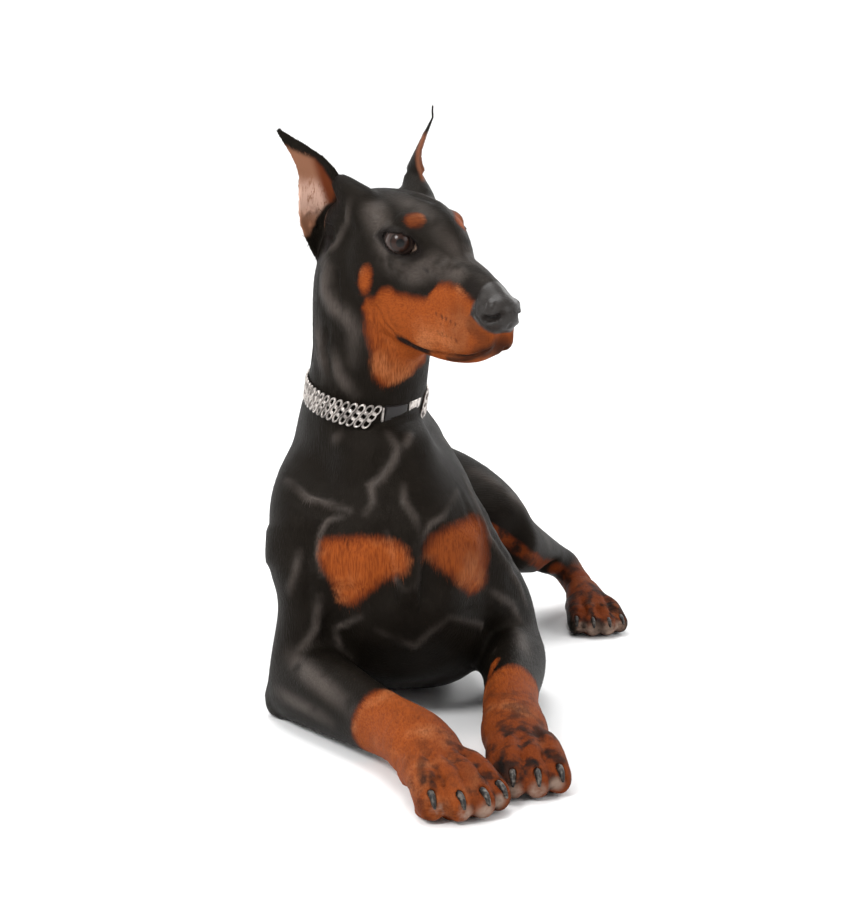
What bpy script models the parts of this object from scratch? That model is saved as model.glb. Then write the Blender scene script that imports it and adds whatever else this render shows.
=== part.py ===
"""A doberman pinscher lying on the floor with its chest up and its head turned, as a
still life-size model. The dog looks along -Y, its left side is +X and the floor is z = 0.
The origin is on the floor in the middle of the flat that the brisket rests on.

The flesh is built from tubes along the bones and balls for the muscles, fused by a voxel
remesh, pressed and raised along a few strokes, thinned, and parted by cells that leave a
thin gap. Lengths in the tables are centimetres, scaled by CM."""

import math

import bmesh
import bpy
import numpy as np
from mathutils import Matrix, Vector

CM = 0.01
GAP = 0.0003
FLOOR_RISE = 0.0002

# The head has its own frame: forward, left and up from the point between the eyes.
HEAD_AT = Vector((3.8, -19.0, 52.6))
HEAD_YAW = math.radians(37)
HEAD_PITCH = math.radians(12)

# Triangles left in each fused body before it is parted.
BODY_FACES = 4300
HEAD_FACES = 4300
FOREPAW_FACES = 900
HINDPAW_FACES = 700

CLAW_SIDES = 7

EYE_RADIUS = 1.62
EYE_SPREAD = 3.2
EYE_BACK = 0.86
EYE_HALF_WIDTH = 1.62
EYE_HALF_HEIGHT = 1.08
EYE_SLANT = math.radians(12)
EYE_TURN = math.radians(36)

COLLAR_AT = Vector((-3.45, -10.2, 35.4))
COLLAR_TILT = math.radians(9)
COLLAR_ROLL = math.radians(7)
COLLAR_WIDTH = 2.35
COLLAR_LINKS = 30
COLLAR_ROWS = 3
COLLAR_HALF_ACROSS = 6.45
COLLAR_HALF_AHEAD = 8.25
COLLAR_THICK = 0.34
BUCKLE_FROM = math.radians(18)
BUCKLE_TO = math.radians(60)

# Where the neck and the head begin: a point, and the way that the neck or head runs.
NECK_BASE = Vector((-3.0, -9.0, 32.0))
NECK_WAY = Vector((0, -0.30, 0.954))
HEAD_BASE_FORWARD = 0.66
HEAD_BASE_UP = 0.75

BLACK_COAT = (0.012, 0.010, 0.010, 1.0)
RUST_COAT = (0.30, 0.10, 0.035, 1.0)
IRIS_BROWN = (0.05, 0.022, 0.015, 1.0)
CLAW_GREY = (0.10, 0.095, 0.09, 1.0)
CHAIN_SILVER = (0.62, 0.62, 0.63, 1.0)
BUCKLE_BLACK = (0.015, 0.015, 0.016, 1.0)


# ---------------------------------------------------------------- frames and materials

def head_axes():
    """Forward, left and up of the head, as unit vectors."""
    level = math.cos(HEAD_PITCH)
    forward = Vector((
        math.sin(HEAD_YAW) * level,
        -math.cos(HEAD_YAW) * level,
        -math.sin(HEAD_PITCH),
    ))
    left = Vector((math.cos(HEAD_YAW), math.sin(HEAD_YAW), 0.0))
    return forward, left, forward.cross(left)


FORWARD, LEFT, UP = head_axes()


def on_head(f, l, u):
    """A point given forward, left and up from between the eyes, in centimetres."""
    return HEAD_AT + FORWARD * f + LEFT * l + UP * u


def material(name, colour, roughness, metallic=0.0):
    """A Principled material of one colour."""
    made = bpy.data.materials.new(name)
    made.use_nodes = True
    shader = made.node_tree.nodes["Principled BSDF"]
    shader.inputs["Base Color"].default_value = colour
    shader.inputs["Roughness"].default_value = roughness
    shader.inputs["Metallic"].default_value = metallic
    return made


# ---------------------------------------------------------------- shapes

def curve_through(stations, steps):
    """Points on a smooth curve through the stations, with any radii carried along."""
    rows = [np.array(s, dtype=float) for s in stations]
    rows = [2 * rows[0] - rows[1]] + rows + [2 * rows[-1] - rows[-2]]
    found = []
    for i in range(1, len(rows) - 2):
        before, start, end, after = rows[i - 1:i + 3]
        for step in range(steps):
            t = step / steps
            found.append(0.5 * (
                2 * start
                + (end - before) * t
                + (2 * before - 5 * start + 4 * end - after) * t ** 2
                + (3 * start - before - 3 * end + after) * t ** 3
            ))
    found.append(rows[-2])
    return found


def rounded(value, square):
    """A cosine or sine pushed outwards, so that an oval of it turns towards a box."""
    return math.copysign(abs(value) ** (2 / square), value)


def add_rings(bm, frames, sides, square=2.0):
    """A closed tube of rings; each frame is (centre, across, along) in metres."""
    turns = [2 * math.pi * k / sides for k in range(sides)]
    rings = []
    for centre, across, along in frames:
        rings.append([
            bm.verts.new(centre
                         + across * rounded(math.cos(a), square)
                         + along * rounded(math.sin(a), square))
            for a in turns
        ])
    for ring, following in zip(rings, rings[1:]):
        for k in range(sides):
            after = (k + 1) % sides
            bm.faces.new((ring[k], ring[after], following[after], following[k]))
    bm.faces.new(list(reversed(rings[0])))
    bm.faces.new(rings[-1])


def add_tube(bm, stations, across=None, sides=20, steps=4, place=None, square=2.0):
    """A tube along stations (x, y, z, half width, half height). across is the way that
    the width runs; without it the width is level. place turns a row into a point."""
    rows = curve_through(stations, steps)
    points = [place(*row[:3]) if place else Vector(row[:3]) for row in rows]
    frames = []
    for i, row in enumerate(rows):
        ahead = points[min(i + 1, len(rows) - 1)] - points[max(i - 1, 0)]
        ahead.normalize()
        wide = across.copy() if across else ahead.cross(Vector((0, 0, 1)))
        wide = (wide - ahead * wide.dot(ahead)).normalized()
        high = ahead.cross(wide)
        half_width = max(row[3], 0.05)
        half_height = max(row[4], 0.05)
        frames.append((points[i] * CM, wide * half_width * CM, high * half_height * CM))
    start = len(bm.faces)
    add_rings(bm, frames, sides, square)
    bm.faces.ensure_lookup_table()
    bmesh.ops.recalc_face_normals(bm, faces=bm.faces[start:])


def add_ball(bm, centre, radii, axes=None, detail=3):
    """An ellipsoid; axes are the three ways that its radii run."""
    axes = axes or (Vector((1, 0, 0)), Vector((0, 1, 0)), Vector((0, 0, 1)))
    turn = Matrix([axes[0], axes[1], axes[2]]).transposed().to_4x4()
    scale = Matrix.Diagonal((radii[0] * CM, radii[1] * CM, radii[2] * CM, 1))
    place = Matrix.Translation(Vector(centre) * CM) @ turn @ scale
    bmesh.ops.create_icosphere(bm, subdivisions=detail, radius=1, matrix=place)


def head_ball(bm, f, l, u, radii):
    """An ellipsoid in the head's frame."""
    add_ball(bm, on_head(f, l, u), radii, (FORWARD, LEFT, UP))


def finished(name, bm, finish):
    """A linked object from a bmesh."""
    mesh = bpy.data.meshes.new(name)
    bm.to_mesh(mesh)
    bm.free()
    made = bpy.data.objects.new(name, mesh)
    bpy.context.scene.collection.objects.link(made)
    if finish:
        made.data.materials.append(finish)
    mesh.shade_smooth()
    return made


def apply_modifiers(target):
    """Bakes an object's modifiers into its mesh."""
    bpy.context.view_layer.update()
    graph = bpy.context.evaluated_depsgraph_get()
    baked = bpy.data.meshes.new_from_object(target.evaluated_get(graph))
    target.modifiers.clear()
    target.data = baked


def keep_largest(target):
    """Drops all but the largest closed surface."""
    bm = bmesh.new()
    bm.from_mesh(target.data)
    left = set(bm.verts)
    groups = []
    while left:
        seed = left.pop()
        group = {seed}
        front = [seed]
        while front:
            vert = front.pop()
            for edge in vert.link_edges:
                other = edge.other_vert(vert)
                if other in left:
                    left.discard(other)
                    group.add(other)
                    front.append(other)
        groups.append(group)
    groups.sort(key=len)
    dropped = [v for group in groups[:-1] for v in group]
    bmesh.ops.delete(bm, geom=dropped, context="VERTS")
    bm.to_mesh(target.data)
    bm.free()


def fuse(target, voxel, smooth_rounds):
    """One skin round all the shells of an object, with its creases softened."""
    remesh = target.modifiers.new("skin", "REMESH")
    remesh.mode = "VOXEL"
    remesh.voxel_size = voxel * CM
    smooth = target.modifiers.new("soften", "SMOOTH")
    smooth.factor = 0.5
    smooth.iterations = smooth_rounds
    apply_modifiers(target)
    keep_largest(target)


def thin(target, faces):
    """Collapses edges until about this many triangles are left."""
    target.data.calc_loop_triangles()
    decimate = target.modifiers.new("thin", "DECIMATE")
    decimate.ratio = min(1.0, faces / len(target.data.loop_triangles))
    decimate.use_collapse_triangulate = True
    apply_modifiers(target)


def level_floor(target):
    """Presses what reaches below the floor flat onto it."""
    for vert in target.data.vertices:
        if vert.co.z < FLOOR_RISE:
            vert.co.z = 0.0


def combine(target, other, operation, solver="EXACT"):
    """Applies one Boolean and removes the other object."""
    boolean = target.modifiers.new("combine", "BOOLEAN")
    boolean.operation = operation
    boolean.solver = solver
    boolean.object = other
    apply_modifiers(target)
    bpy.data.objects.remove(other, do_unlink=True)


# ---------------------------------------------------------------- strokes on a skin

def distance_to_path(points, path):
    """Each point's distance to a polyline and how far along the polyline it is nearest."""
    best = np.full(len(points), np.inf)
    along = np.zeros(len(points))
    for i, (start, end) in enumerate(zip(path, path[1:])):
        start = np.array(start)
        run = np.array(end) - start
        t = np.clip((points - start) @ run / (run @ run), 0, 1)
        gap = np.linalg.norm(points - start - t[:, None] * run, axis=1)
        nearer = gap < best
        best = np.where(nearer, gap, best)
        along = np.where(nearer, (i + t) / (len(path) - 1), along)
    return best, along


def stroke(target, path, radius, height):
    """Raises the skin (or presses it, where height is negative) along a path, in cm."""
    count = len(target.data.vertices)
    places = np.empty(count * 3)
    target.data.vertices.foreach_get("co", places)
    places = places.reshape(-1, 3)
    normals = np.empty(count * 3)
    target.data.vertices.foreach_get("normal", normals)
    normals = normals.reshape(-1, 3)
    gap, along = distance_to_path(places / CM, path)
    fall = np.clip(1 - (gap / radius) ** 2, 0, None) ** 2
    ends = np.clip(np.sin(np.pi * np.clip(along, 0.02, 0.98)) * 2.2, 0, 1)
    places += normals * (fall * ends * height * CM)[:, None]
    target.data.vertices.foreach_set("co", places.ravel())
    target.data.update()


def head_stroke(target, path, radius, height):
    """A stroke whose path is in the head's frame."""
    stroke(target, [tuple(on_head(*p)) for p in path], radius, height)


# ---------------------------------------------------------------- the body's pieces

TRUNK = (
    # x, y, z, half width, half height
    (1.0, -22.6, 18.0, 4.4, 6.0),
    (0.9, -20.8, 18.0, 6.4, 9.0),
    (0.6, -17.5, 17.8, 8.2, 12.0),
    (0.3, -14.0, 17.2, 9.3, 13.6),
    (-0.6, -9.0, 16.6, 9.6, 15.0),
    (-1.7, -3.0, 16.2, 9.8, 15.6),
    (-2.7, 4.0, 16.0, 9.7, 15.2),
    (-3.4, 11.0, 15.6, 9.3, 13.6),
    (-4.1, 18.0, 15.8, 8.3, 11.2),
    (-4.3, 25.0, 16.4, 7.8, 9.8),
    (-4.7, 31.0, 16.4, 8.0, 9.4),
    (-5.1, 37.0, 16.2, 8.0, 9.2),
    (-5.6, 42.5, 17.0, 6.2, 7.4),
    (-6.0, 45.5, 18.0, 3.2, 4.0),
)

SPINE = (
    (-3.4, -5.0, 28.0, 4.4, 6.0),
    (-3.6, 2.0, 30.0, 4.4, 6.2),
    (-4.2, 10.0, 28.2, 4.4, 5.6),
    (-4.6, 18.0, 25.2, 4.4, 4.8),
    (-4.9, 26.0, 23.0, 4.6, 4.4),
    (-5.2, 34.0, 22.0, 4.8, 4.2),
    (-5.5, 41.0, 20.4, 4.2, 3.8),
)
BRISKET = (
    (1.1, -18.0, 12.3, 6.4, 4.5),
    (1.1, -14.4, 11.5, 8.3, 6.8),
    (1.2, -8.0, 9.7, 8.8, 8.2),
    (0.4, 0.0, 8.5, 8.8, 9.0),
    (-0.6, 8.0, 9.0, 8.2, 8.6),
)

NECK = (
    (-2.4, -3.0, 22.0, 8.9, 12.6),
    (-3.7, -6.2, 28.0, 8.2, 11.0),
    (-3.9, -9.0, 33.0, 6.9, 8.8),
    (-3.2, -10.3, 37.0, 6.5, 7.7),
    (-2.8, -10.9, 41.5, 6.5, 7.4),
    (-3.0, -11.2, 46.0, 6.3, 7.2),
    (-3.0, -11.6, 50.0, 5.6, 6.6),
    (-2.4, -12.2, 53.0, 4.6, 5.4),
)

TAIL = (
    (-5.9, 42.5, 18.6, 2.6, 2.6),
    (-6.2, 46.5, 20.0, 1.9, 1.9),
    (-6.4, 50.0, 20.6, 1.5, 1.5),
    (-6.5, 53.0, 20.4, 1.0, 1.0),
)

SHOULDER_RIGHT = (
    (-5.2, 1.5, 32.0, 3.2, 3.0),
    (-7.3, -5.5, 28.2, 4.2, 4.6),
    (-9.2, -12.0, 23.4, 4.9, 5.4),
    (-9.1, -17.5, 19.4, 4.4, 4.8),
)
UPPER_ARM_RIGHT = (
    (-9.4, -17.5, 19.0, 4.4, 4.8),
    (-9.3, -16.8, 13.5, 3.7, 4.4),
    (-10.2, -15.8, 8.5, 3.5, 4.0),
    (-11.2, -15.0, 4.6, 3.3, 3.3),
)
FOREARM_RIGHT = (
    (-12.0, -14.4, 3.2, 2.8, 3.4),
    (-10.4, -17.0, 4.0, 3.8, 4.2),
    (-7.4, -21.8, 4.6, 3.8, 4.5),
    (-3.7, -27.8, 4.3, 3.3, 3.9),
    (-0.4, -33.0, 4.2, 3.2, 3.4),
    (1.4, -36.4, 4.3, 3.4, 3.4),
    (3.1, -40.1, 3.8, 3.6, 3.2),
    (4.4, -43.2, 3.1, 3.1, 2.8),
    (5.7, -46.0, 2.3, 2.4, 1.9),
)

SHOULDER_LEFT = (
    (-0.6, 2.5, 31.2, 2.8, 2.8),
    (1.5, -3.6, 27.8, 3.7, 4.4),
    (3.9, -9.8, 23.6, 4.3, 5.2),
    (5.7, -15.2, 19.4, 4.2, 4.8),
)
UPPER_ARM_LEFT = (
    (5.8, -15.4, 19.0, 4.2, 4.8),
    (8.9, -12.0, 15.0, 4.2, 4.6),
    (11.3, -8.6, 11.0, 3.9, 4.2),
    (12.7, -6.0, 6.2, 3.4, 3.5),
)
FOREARM_LEFT = (
    (13.3, -4.8, 3.2, 2.9, 3.6),
    (13.1, -8.2, 4.9, 3.6, 4.3),
    (12.8, -13.6, 5.1, 3.6, 4.3),
    (12.4, -20.0, 4.8, 3.1, 3.6),
    (12.0, -26.0, 4.4, 3.1, 3.1),
    (12.1, -29.6, 4.1, 3.3, 3.0),
    (12.2, -33.4, 3.6, 3.5, 2.9),
    (12.4, -37.0, 3.0, 3.0, 2.5),
    (12.5, -40.0, 2.3, 2.4, 1.9),
)

THIGH_LEFT = (
    (-2.5, 37.0, 17.2, 6.5, 7.2),
    (2.0, 32.0, 16.5, 6.6, 6.5),
    (6.9, 25.5, 15.6, 6.0, 6.3),
    (11.2, 19.8, 13.9, 4.8, 5.6),
    (13.0, 17.2, 12.6, 3.8, 4.0),
)
SHANK_LEFT = (
    (13.0, 17.2, 12.5, 3.8, 3.8),
    (14.8, 21.5, 11.1, 3.4, 3.6),
    (17.4, 27.0, 9.0, 2.7, 2.8),
    (19.8, 31.8, 7.0, 2.1, 2.3),
    (21.9, 35.2, 5.4, 1.9, 2.1),
)
FOOT_LEFT = (
    (21.8, 35.6, 4.4, 1.7, 2.0),
    (22.5, 32.2, 4.1, 1.9, 2.2),
    (23.1, 28.8, 3.6, 2.1, 1.9),
    (23.5, 26.0, 3.1, 2.5, 2.0),
    (23.9, 23.6, 2.8, 2.3, 1.9),
    (24.3, 21.4, 2.1, 1.9, 1.5),
)
THIGH_RIGHT = (
    (-5.5, 36.0, 12.5, 6.5, 7.0),
    (-8.2, 30.0, 10.5, 5.6, 7.4),
    (-10.4, 23.0, 7.4, 4.8, 6.6),
    (-11.4, 16.5, 4.8, 4.2, 5.4),
)
SHANK_RIGHT = (
    (-11.0, 16.0, 4.6, 4.0, 4.8),
    (-9.4, 23.0, 4.2, 3.8, 4.3),
    (-6.6, 31.5, 4.0, 3.0, 3.2),
    (-3.6, 39.0, 3.2, 2.1, 2.4),
)
FOOT_RIGHT = (
    (-3.4, 40.2, 2.8, 1.8, 2.2),
    (-0.6, 38.0, 2.8, 1.9, 2.1),
    (2.6, 35.6, 2.7, 2.1, 1.9),
    (5.0, 33.8, 2.6, 2.4, 1.9),
    (6.6, 32.4, 2.4, 2.2, 1.8),
    (8.2, 31.0, 1.9, 1.8, 1.4),
)


def build_body(bm):
    """Trunk, neck, shoulders, legs down to the feet, haunches and tail."""
    side = Vector((1, 0, 0))
    add_tube(bm, TRUNK, across=side, sides=28, square=2.4)
    add_tube(bm, BRISKET, across=side, sides=28, square=3.0)
    add_tube(bm, SPINE, across=side)
    add_tube(bm, NECK, across=side, sides=28)
    add_tube(bm, TAIL)
    for limb in (SHOULDER_RIGHT, SHOULDER_LEFT, FOREARM_RIGHT, FOREARM_LEFT,
                 THIGH_LEFT, SHANK_LEFT, FOOT_LEFT, THIGH_RIGHT, SHANK_RIGHT, FOOT_RIGHT):
        add_tube(bm, limb)
    for limb in (UPPER_ARM_RIGHT, UPPER_ARM_LEFT):
        add_tube(bm, limb, across=side)
    add_ball(bm, (1.0, -19.6, 18.0), (3.2, 4.2, 7.0))
    add_ball(bm, (-4.6, -17.6, 19.4), (5.8, 4.2, 7.4))
    add_ball(bm, (4.8, -16.6, 19.0), (5.2, 4.0, 7.2))
    add_ball(bm, (-9.4, -15.8, 18.8), (4.8, 5.0, 7.0))
    add_ball(bm, (6.4, -13.6, 18.6), (4.4, 4.6, 7.0))
    add_ball(bm, (-1.6, -14.4, 27.5), (6.2, 5.6, 8.0))
    add_ball(bm, (-12.7, -14.6, 1.9), (2.3, 2.8, 3.0))
    add_ball(bm, (13.8, -3.4, 2.5), (2.0, 2.4, 3.2))
    add_ball(bm, (21.3, 36.4, 4.8), (1.5, 1.6, 2.0))
    add_ball(bm, (0.5, 38.5, 14.5), (6.0, 6.0, 8.0))
    add_ball(bm, (-9.0, 37.0, 10.0), (5.0, 6.0, 8.0))


CRANIUM = (
    # forward, left, up of each ring's middle, half width, half height
    (-13.2, 0, -3.0, 3.4, 4.2),
    (-11.2, 0, -2.6, 4.8, 5.3),
    (-8.5, 0, -2.4, 5.6, 6.0),
    (-5.0, 0, -2.4, 5.6, 6.6),
    (-2.0, 0, -2.6, 4.7, 6.9),
    (0.4, 0, -3.4, 4.0, 6.9),
    (2.6, 0, -4.6, 3.6, 5.3),
)
MUZZLE = (
    (-0.5, 0, -3.2, 3.9, 4.2),
    (2.4, 0, -3.7, 3.5, 4.3),
    (5.0, 0, -4.15, 3.1, 4.25),
    (8.0, 0, -4.5, 2.75, 4.15),
    (10.8, 0, -4.8, 2.5, 3.75),
    (12.7, 0, -5.3, 2.1, 2.8),
)
LOWER_JAW = (
    (-6.0, 0, -8.6, 4.2, 2.6),
    (-2.0, 0, -9.3, 3.8, 2.0),
    (2.0, 0, -9.9, 3.0, 1.5),
    (6.0, 0, -9.75, 2.4, 1.3),
    (9.3, 0, -8.9, 2.1, 1.2),
    (11.7, 0, -7.7, 1.5, 0.85),
)
EAR_ROOT = (
    # forward, left, up and radius of the cone of skin that the left ear stands on
    (-7.4, 3.0, 1.5, 1.9),
    (-8.8, 4.0, 2.5, 1.8),
    (-10.3, 4.6, 3.4, 1.4),
    (-11.4, 5.1, 4.2, 0.9),
)


def build_head(bm):
    """Skull, muzzle, jaw and the muscles of the head, in the head's frame."""
    for form in (CRANIUM, MUZZLE, LOWER_JAW):
        add_tube(bm, form, across=LEFT, sides=28, place=on_head)
    head_ball(bm, -4.0, 0, -10.6, (5.0, 3.4, 3.4))
    head_ball(bm, 12.65, 0, -3.75, (1.8, 2.3, 2.0))
    head_ball(bm, 12.8, 0, -2.85, (1.05, 1.5, 0.95))
    head_ball(bm, -1.5, 0, 2.1, (3.2, 2.6, 2.3))
    for side in (-1, 1):
        head_ball(bm, -5.4, side * 3.9, -4.6, (4.3, 2.5, 4.8))
        head_ball(bm, -3.0, side * 3.9, -1.7, (4.4, 1.2, 1.4))
        head_ball(bm, -0.9, side * 2.4, 1.9, (2.3, 1.4, 0.9))
        head_ball(bm, -7.4, side * 3.0, 1.0, (4.4, 2.6, 2.3))
        head_ball(bm, -9.9, side * 4.7, -0.8, (2.6, 1.6, 2.8))
        head_ball(bm, -1.8, side * 2.9, -7.4, (4.0, 1.7, 2.9))
        head_ball(bm, -8.4, side * 3.7, 2.7, (2.4, 1.7, 1.4))
        head_ball(bm, 3.4, side * 2.4, -7.2, (4.0, 1.3, 2.9))
        head_ball(bm, 8.2, side * 1.9, -7.3, (4.6, 1.2, 1.95))
        head_ball(bm, 11.5, side * 1.2, -6.6, (1.8, 1.25, 1.7))
        head_ball(bm, 5.0, side * 2.0, -3.4, (4.0, 1.3, 2.0))
        add_tube(bm, [(f, l * side, u, r, r) for f, l, u, r in EAR_ROOT], sides=14,
                 place=on_head)
        eye = eye_centre(side)
        add_ball(bm, eye, (EYE_RADIUS + 0.28,) * 3)


def eye_rim(side, flare, depth, sides):
    """Points of the almond between the lids, at a depth along the eye's axis."""
    axis = eye_axis(side)
    outward = UP.cross(axis) * side
    outward = (outward - axis * outward.dot(axis)).normalized()
    rise = axis.cross(outward) * side
    wide = outward * math.cos(EYE_SLANT) + rise * math.sin(EYE_SLANT)
    high = rise * math.cos(EYE_SLANT) - outward * math.sin(EYE_SLANT)
    points = []
    for k in range(sides):
        turn = 2 * math.pi * k / sides
        tall = math.sin(turn) * (0.62 + 0.38 * abs(math.sin(turn)))
        points.append(eye_centre(side) + axis * depth * EYE_RADIUS
                      + wide * math.cos(turn) * EYE_HALF_WIDTH * flare
                      + high * tall * EYE_HALF_HEIGHT * flare)
    return points


def eye_axis(side):
    """The way that an eye looks: forward, turned out to its own side."""
    return (FORWARD * math.cos(EYE_TURN) + LEFT * side * math.sin(EYE_TURN)).normalized()


def eye_centre(side):
    """The middle of an eyeball."""
    return on_head(-EYE_BACK, side * EYE_SPREAD, 0.1)


def eye_opening(side):
    """The almond-shaped hole between the lids, as a cutter along the eye's axis."""
    bm = bmesh.new()
    rings = []
    for depth, flare in ((0.35, 0.82), (1.0, 0.98), (1.2, 1.04), (2.4, 1.3)):
        rings.append([bm.verts.new(p * CM) for p in eye_rim(side, flare, depth, 20)])
    for ring, following in zip(rings, rings[1:]):
        for k, vert in enumerate(ring):
            after = (k + 1) % len(ring)
            bm.faces.new((vert, ring[after], following[after], following[k]))
    bm.faces.new(list(reversed(rings[0])))
    bm.faces.new(rings[-1])
    bmesh.ops.recalc_face_normals(bm, faces=bm.faces)
    return finished("opening", bm, None)


# Strokes on the head: radius, height and path, for the dog's left side (mirrored too).
FACE_STROKES = (
    # the line of the mouth, and the lip above it
    (0.42, -0.34, ((1.4, 3.6, -9.6), (4.5, 3.2, -9.9), (8.0, 2.6, -9.2), (11.0, 2.1, -8.5),
                   (13.2, 1.2, -7.7), (13.9, 0.0, -7.4))),
    (0.8, 0.16, ((2.0, 3.7, -8.8), (5.0, 3.3, -9.0), (8.0, 2.9, -8.4), (11.0, 2.4, -7.7))),
    # the nostril and the slit at its side
    (0.5, -0.55, ((14.0, 0.75, -3.9), (13.3, 1.35, -3.7), (12.5, 1.9, -4.1))),
    # the edge of the nose leather
    (0.35, -0.14, ((10.9, 0.0, -1.9), (11.4, 1.5, -2.4), (11.6, 2.1, -3.6), (12.4, 1.9, -5.0))),
    # the hollow under the eye and along the bridge
    (1.3, -0.28, ((1.6, 3.2, -2.2), (4.0, 2.7, -2.4), (7.0, 2.4, -2.8))),
    # the crease behind the corner of the mouth
    (0.7, -0.2, ((-1.4, 4.3, -6.6), (-0.2, 4.2, -8.4), (1.0, 3.8, -9.6))),
    # the brow
    (1.2, 0.2, ((-2.6, 4.0, 2.2), (-0.8, 3.2, 2.5), (0.8, 2.0, 2.2))),
)
MIDLINE_STROKES = (
    # the groove under the nose, and the furrow of the forehead
    (0.35, -0.22, ((14.3, 0.0, -4.2), (14.1, 0.0, -5.4), (13.8, 0.0, -7.0))),
    (0.9, -0.22, ((1.2, 0.0, 1.6), (-1.5, 0.0, 3.9), (-5.0, 0.0, 4.2))),
)


def sculpt_face(skull):
    """The mouth, lips, nostrils, lids and brow, pressed into and raised on the skull."""
    for radius, height, path in MIDLINE_STROKES:
        head_stroke(skull, path, radius, height)
    for side in (-1, 1):
        for radius, height, path in FACE_STROKES:
            head_stroke(skull, [(f, l * side, u) for f, l, u in path], radius, height)
        rim = [tuple(p) for p in eye_rim(side, 1.12, 0.95, 16)]
        stroke(skull, rim + rim[:2], 0.55, 0.2)


# ---------------------------------------------------------------- paws and claws

FORE_TOES = (
    # sideways place, extra reach, spread in degrees
    (-2.7, -1.2, -9),
    (-0.95, 0.0, -3),
    (0.95, 0.0, 3),
    (2.7, -1.2, 9),
)
TOE_STATIONS = (
    # along, height, half width, half height, of a fore toe from its knuckle to its end
    (-0.6, 2.6, 1.2, 1.6),
    (1.8, 3.1, 1.25, 1.6),
    (3.8, 2.9, 1.28, 1.6),
    (5.4, 2.1, 1.3, 1.6),
    (6.7, 1.6, 1.25, 1.45),
    (7.6, 1.35, 0.95, 1.1),
)


TUCKED_TOES = ((-2.2, -2.3, -3),) + FORE_TOES[1:]


class Paw:
    """A paw from its root on the leg, pointing a way on the floor, at a size."""

    def __init__(self, root, tip, size, toes=FORE_TOES):
        self.root = Vector((root[0], root[1], 0))
        self.ahead = (Vector((tip[0], tip[1], 0)) - self.root).normalized()
        self.left = Vector((0, 0, 1)).cross(self.ahead)
        self.size = size
        self.toes = toes

    def at(self, along, across, height):
        """A point of the paw, in centimetres."""
        place = self.root + self.ahead * along * self.size + self.left * across * self.size
        place.z = height * self.size
        return place

    def toe_point(self, toe, along, height):
        """A point along one toe, which fans out by its spread."""
        sideways, reach, spread = toe
        fan = math.tan(math.radians(spread)) * along
        return self.at(along + reach + 1.4, sideways * 0.8 + fan, height)

    def build(self, bm):
        """Pad, knuckles and toes."""
        size = self.size
        way = (self.ahead, self.left, Vector((0, 0, 1)))
        add_ball(bm, self.at(0.6, 0, 2.5), (2.8 * size, 2.9 * size, 2.1 * size), way)
        add_ball(bm, self.at(2.2, 0, 1.2), (2.4 * size, 2.3 * size, 1.3 * size), way)
        for toe in self.toes:
            rows = []
            for along, height, half_width, half_height in TOE_STATIONS:
                place = self.toe_point(toe, along, height)
                rows.append((*place, half_width * size, half_height * size))
            add_tube(bm, rows, sides=14)
            pad = self.toe_point(toe, 5.2, 0.75)
            add_ball(bm, pad, (1.35 * size, 1.05 * size, 0.85 * size), way)

    def claw(self, toe):
        """Stations of the curved claw of one toe."""
        rows = []
        for along, height, thick in ((5.6, 2.4, 0.5), (7.1, 2.75, 0.46),
                                     (7.9, 2.35, 0.38), (8.35, 1.7, 0.16)):
            place = self.toe_point(toe, along, height)
            rows.append((*place, thick * 0.85 * self.size, thick * self.size))
        return rows


PAWS = {
    "forepaw_right": Paw((3.6, -42.1), (7.4, -50.3), 1.1),
    "forepaw_left": Paw((12.4, -35.0), (12.8, -43.6), 1.08, TUCKED_TOES),
    "hindpaw_left": Paw((23.6, 25.8), (24.8, 19.0), 0.86),
    "hindpaw_right": Paw((5.2, 33.6), (9.6, 30.0), 0.84),
}


# ---------------------------------------------------------------- ears

EAR_OUTLINE = (
    # share of the length, half width, half turn of the crescent in degrees, thickness
    (0.00, 1.9, 88, 0.22),
    (0.12, 2.6, 86, 0.20),
    (0.28, 3.1, 76, 0.18),
    (0.44, 2.85, 52, 0.17),
    (0.60, 2.2, 34, 0.16),
    (0.76, 1.3, 26, 0.15),
    (0.90, 0.62, 22, 0.14),
    (1.00, 0.22, 20, 0.12),
)
EAR_ACROSS = 10


def ear(name, spine, opening, lean, finish):
    """A cropped ear: a cupped blade along a bent spine, from its root to a slim tip.
    opening is the way that the cup faces, and lean turns it from the root to the tip.
    Each ring is a crescent: its outer face, then its inner face."""
    middles = [Vector(p) for p in curve_through(spine, 6)]
    shape = curve_through(EAR_OUTLINE, 2)
    bm = bmesh.new()
    rings = []
    for share, half, wrap, thick in shape:
        spot = share * (len(middles) - 1)
        low = min(int(spot), len(middles) - 2)
        middle = middles[low].lerp(middles[low + 1], spot - low)
        rise = (middles[low + 1] - middles[low]).normalized()
        face = opening.lerp(lean, share)
        face = (face - rise * face.dot(rise)).normalized()
        wide = rise.cross(face)
        wrap = math.radians(wrap)
        radius = half / math.sin(min(wrap, math.pi / 2))
        hub = middle + face * radius * math.cos(wrap) * 0.6
        outer = []
        inner = []
        for k in range(EAR_ACROSS + 1):
            place = 2 * k / EAR_ACROSS - 1
            turn = wrap * place
            out = wide * math.sin(turn) - face * math.cos(turn)
            edge = thick * (1 - 0.5 * abs(place) ** 3)
            outer.append(hub + out * (radius + edge))
            inner.append(hub + out * (radius - edge))
        rings.append([bm.verts.new(p * CM) for p in outer + inner[::-1]])
    count = len(rings[0])
    for ring, following in zip(rings, rings[1:]):
        for k in range(count):
            after = (k + 1) % count
            bm.faces.new((ring[k], ring[after], following[after], following[k]))
    for ring in (rings[0], rings[-1]):
        for k in range(EAR_ACROSS):
            far = count - 1 - k
            bm.faces.new((ring[k], ring[k + 1], ring[far - 1], ring[far]))
    bmesh.ops.recalc_face_normals(bm, faces=bm.faces)
    return finished(name, bm, finish)


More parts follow.
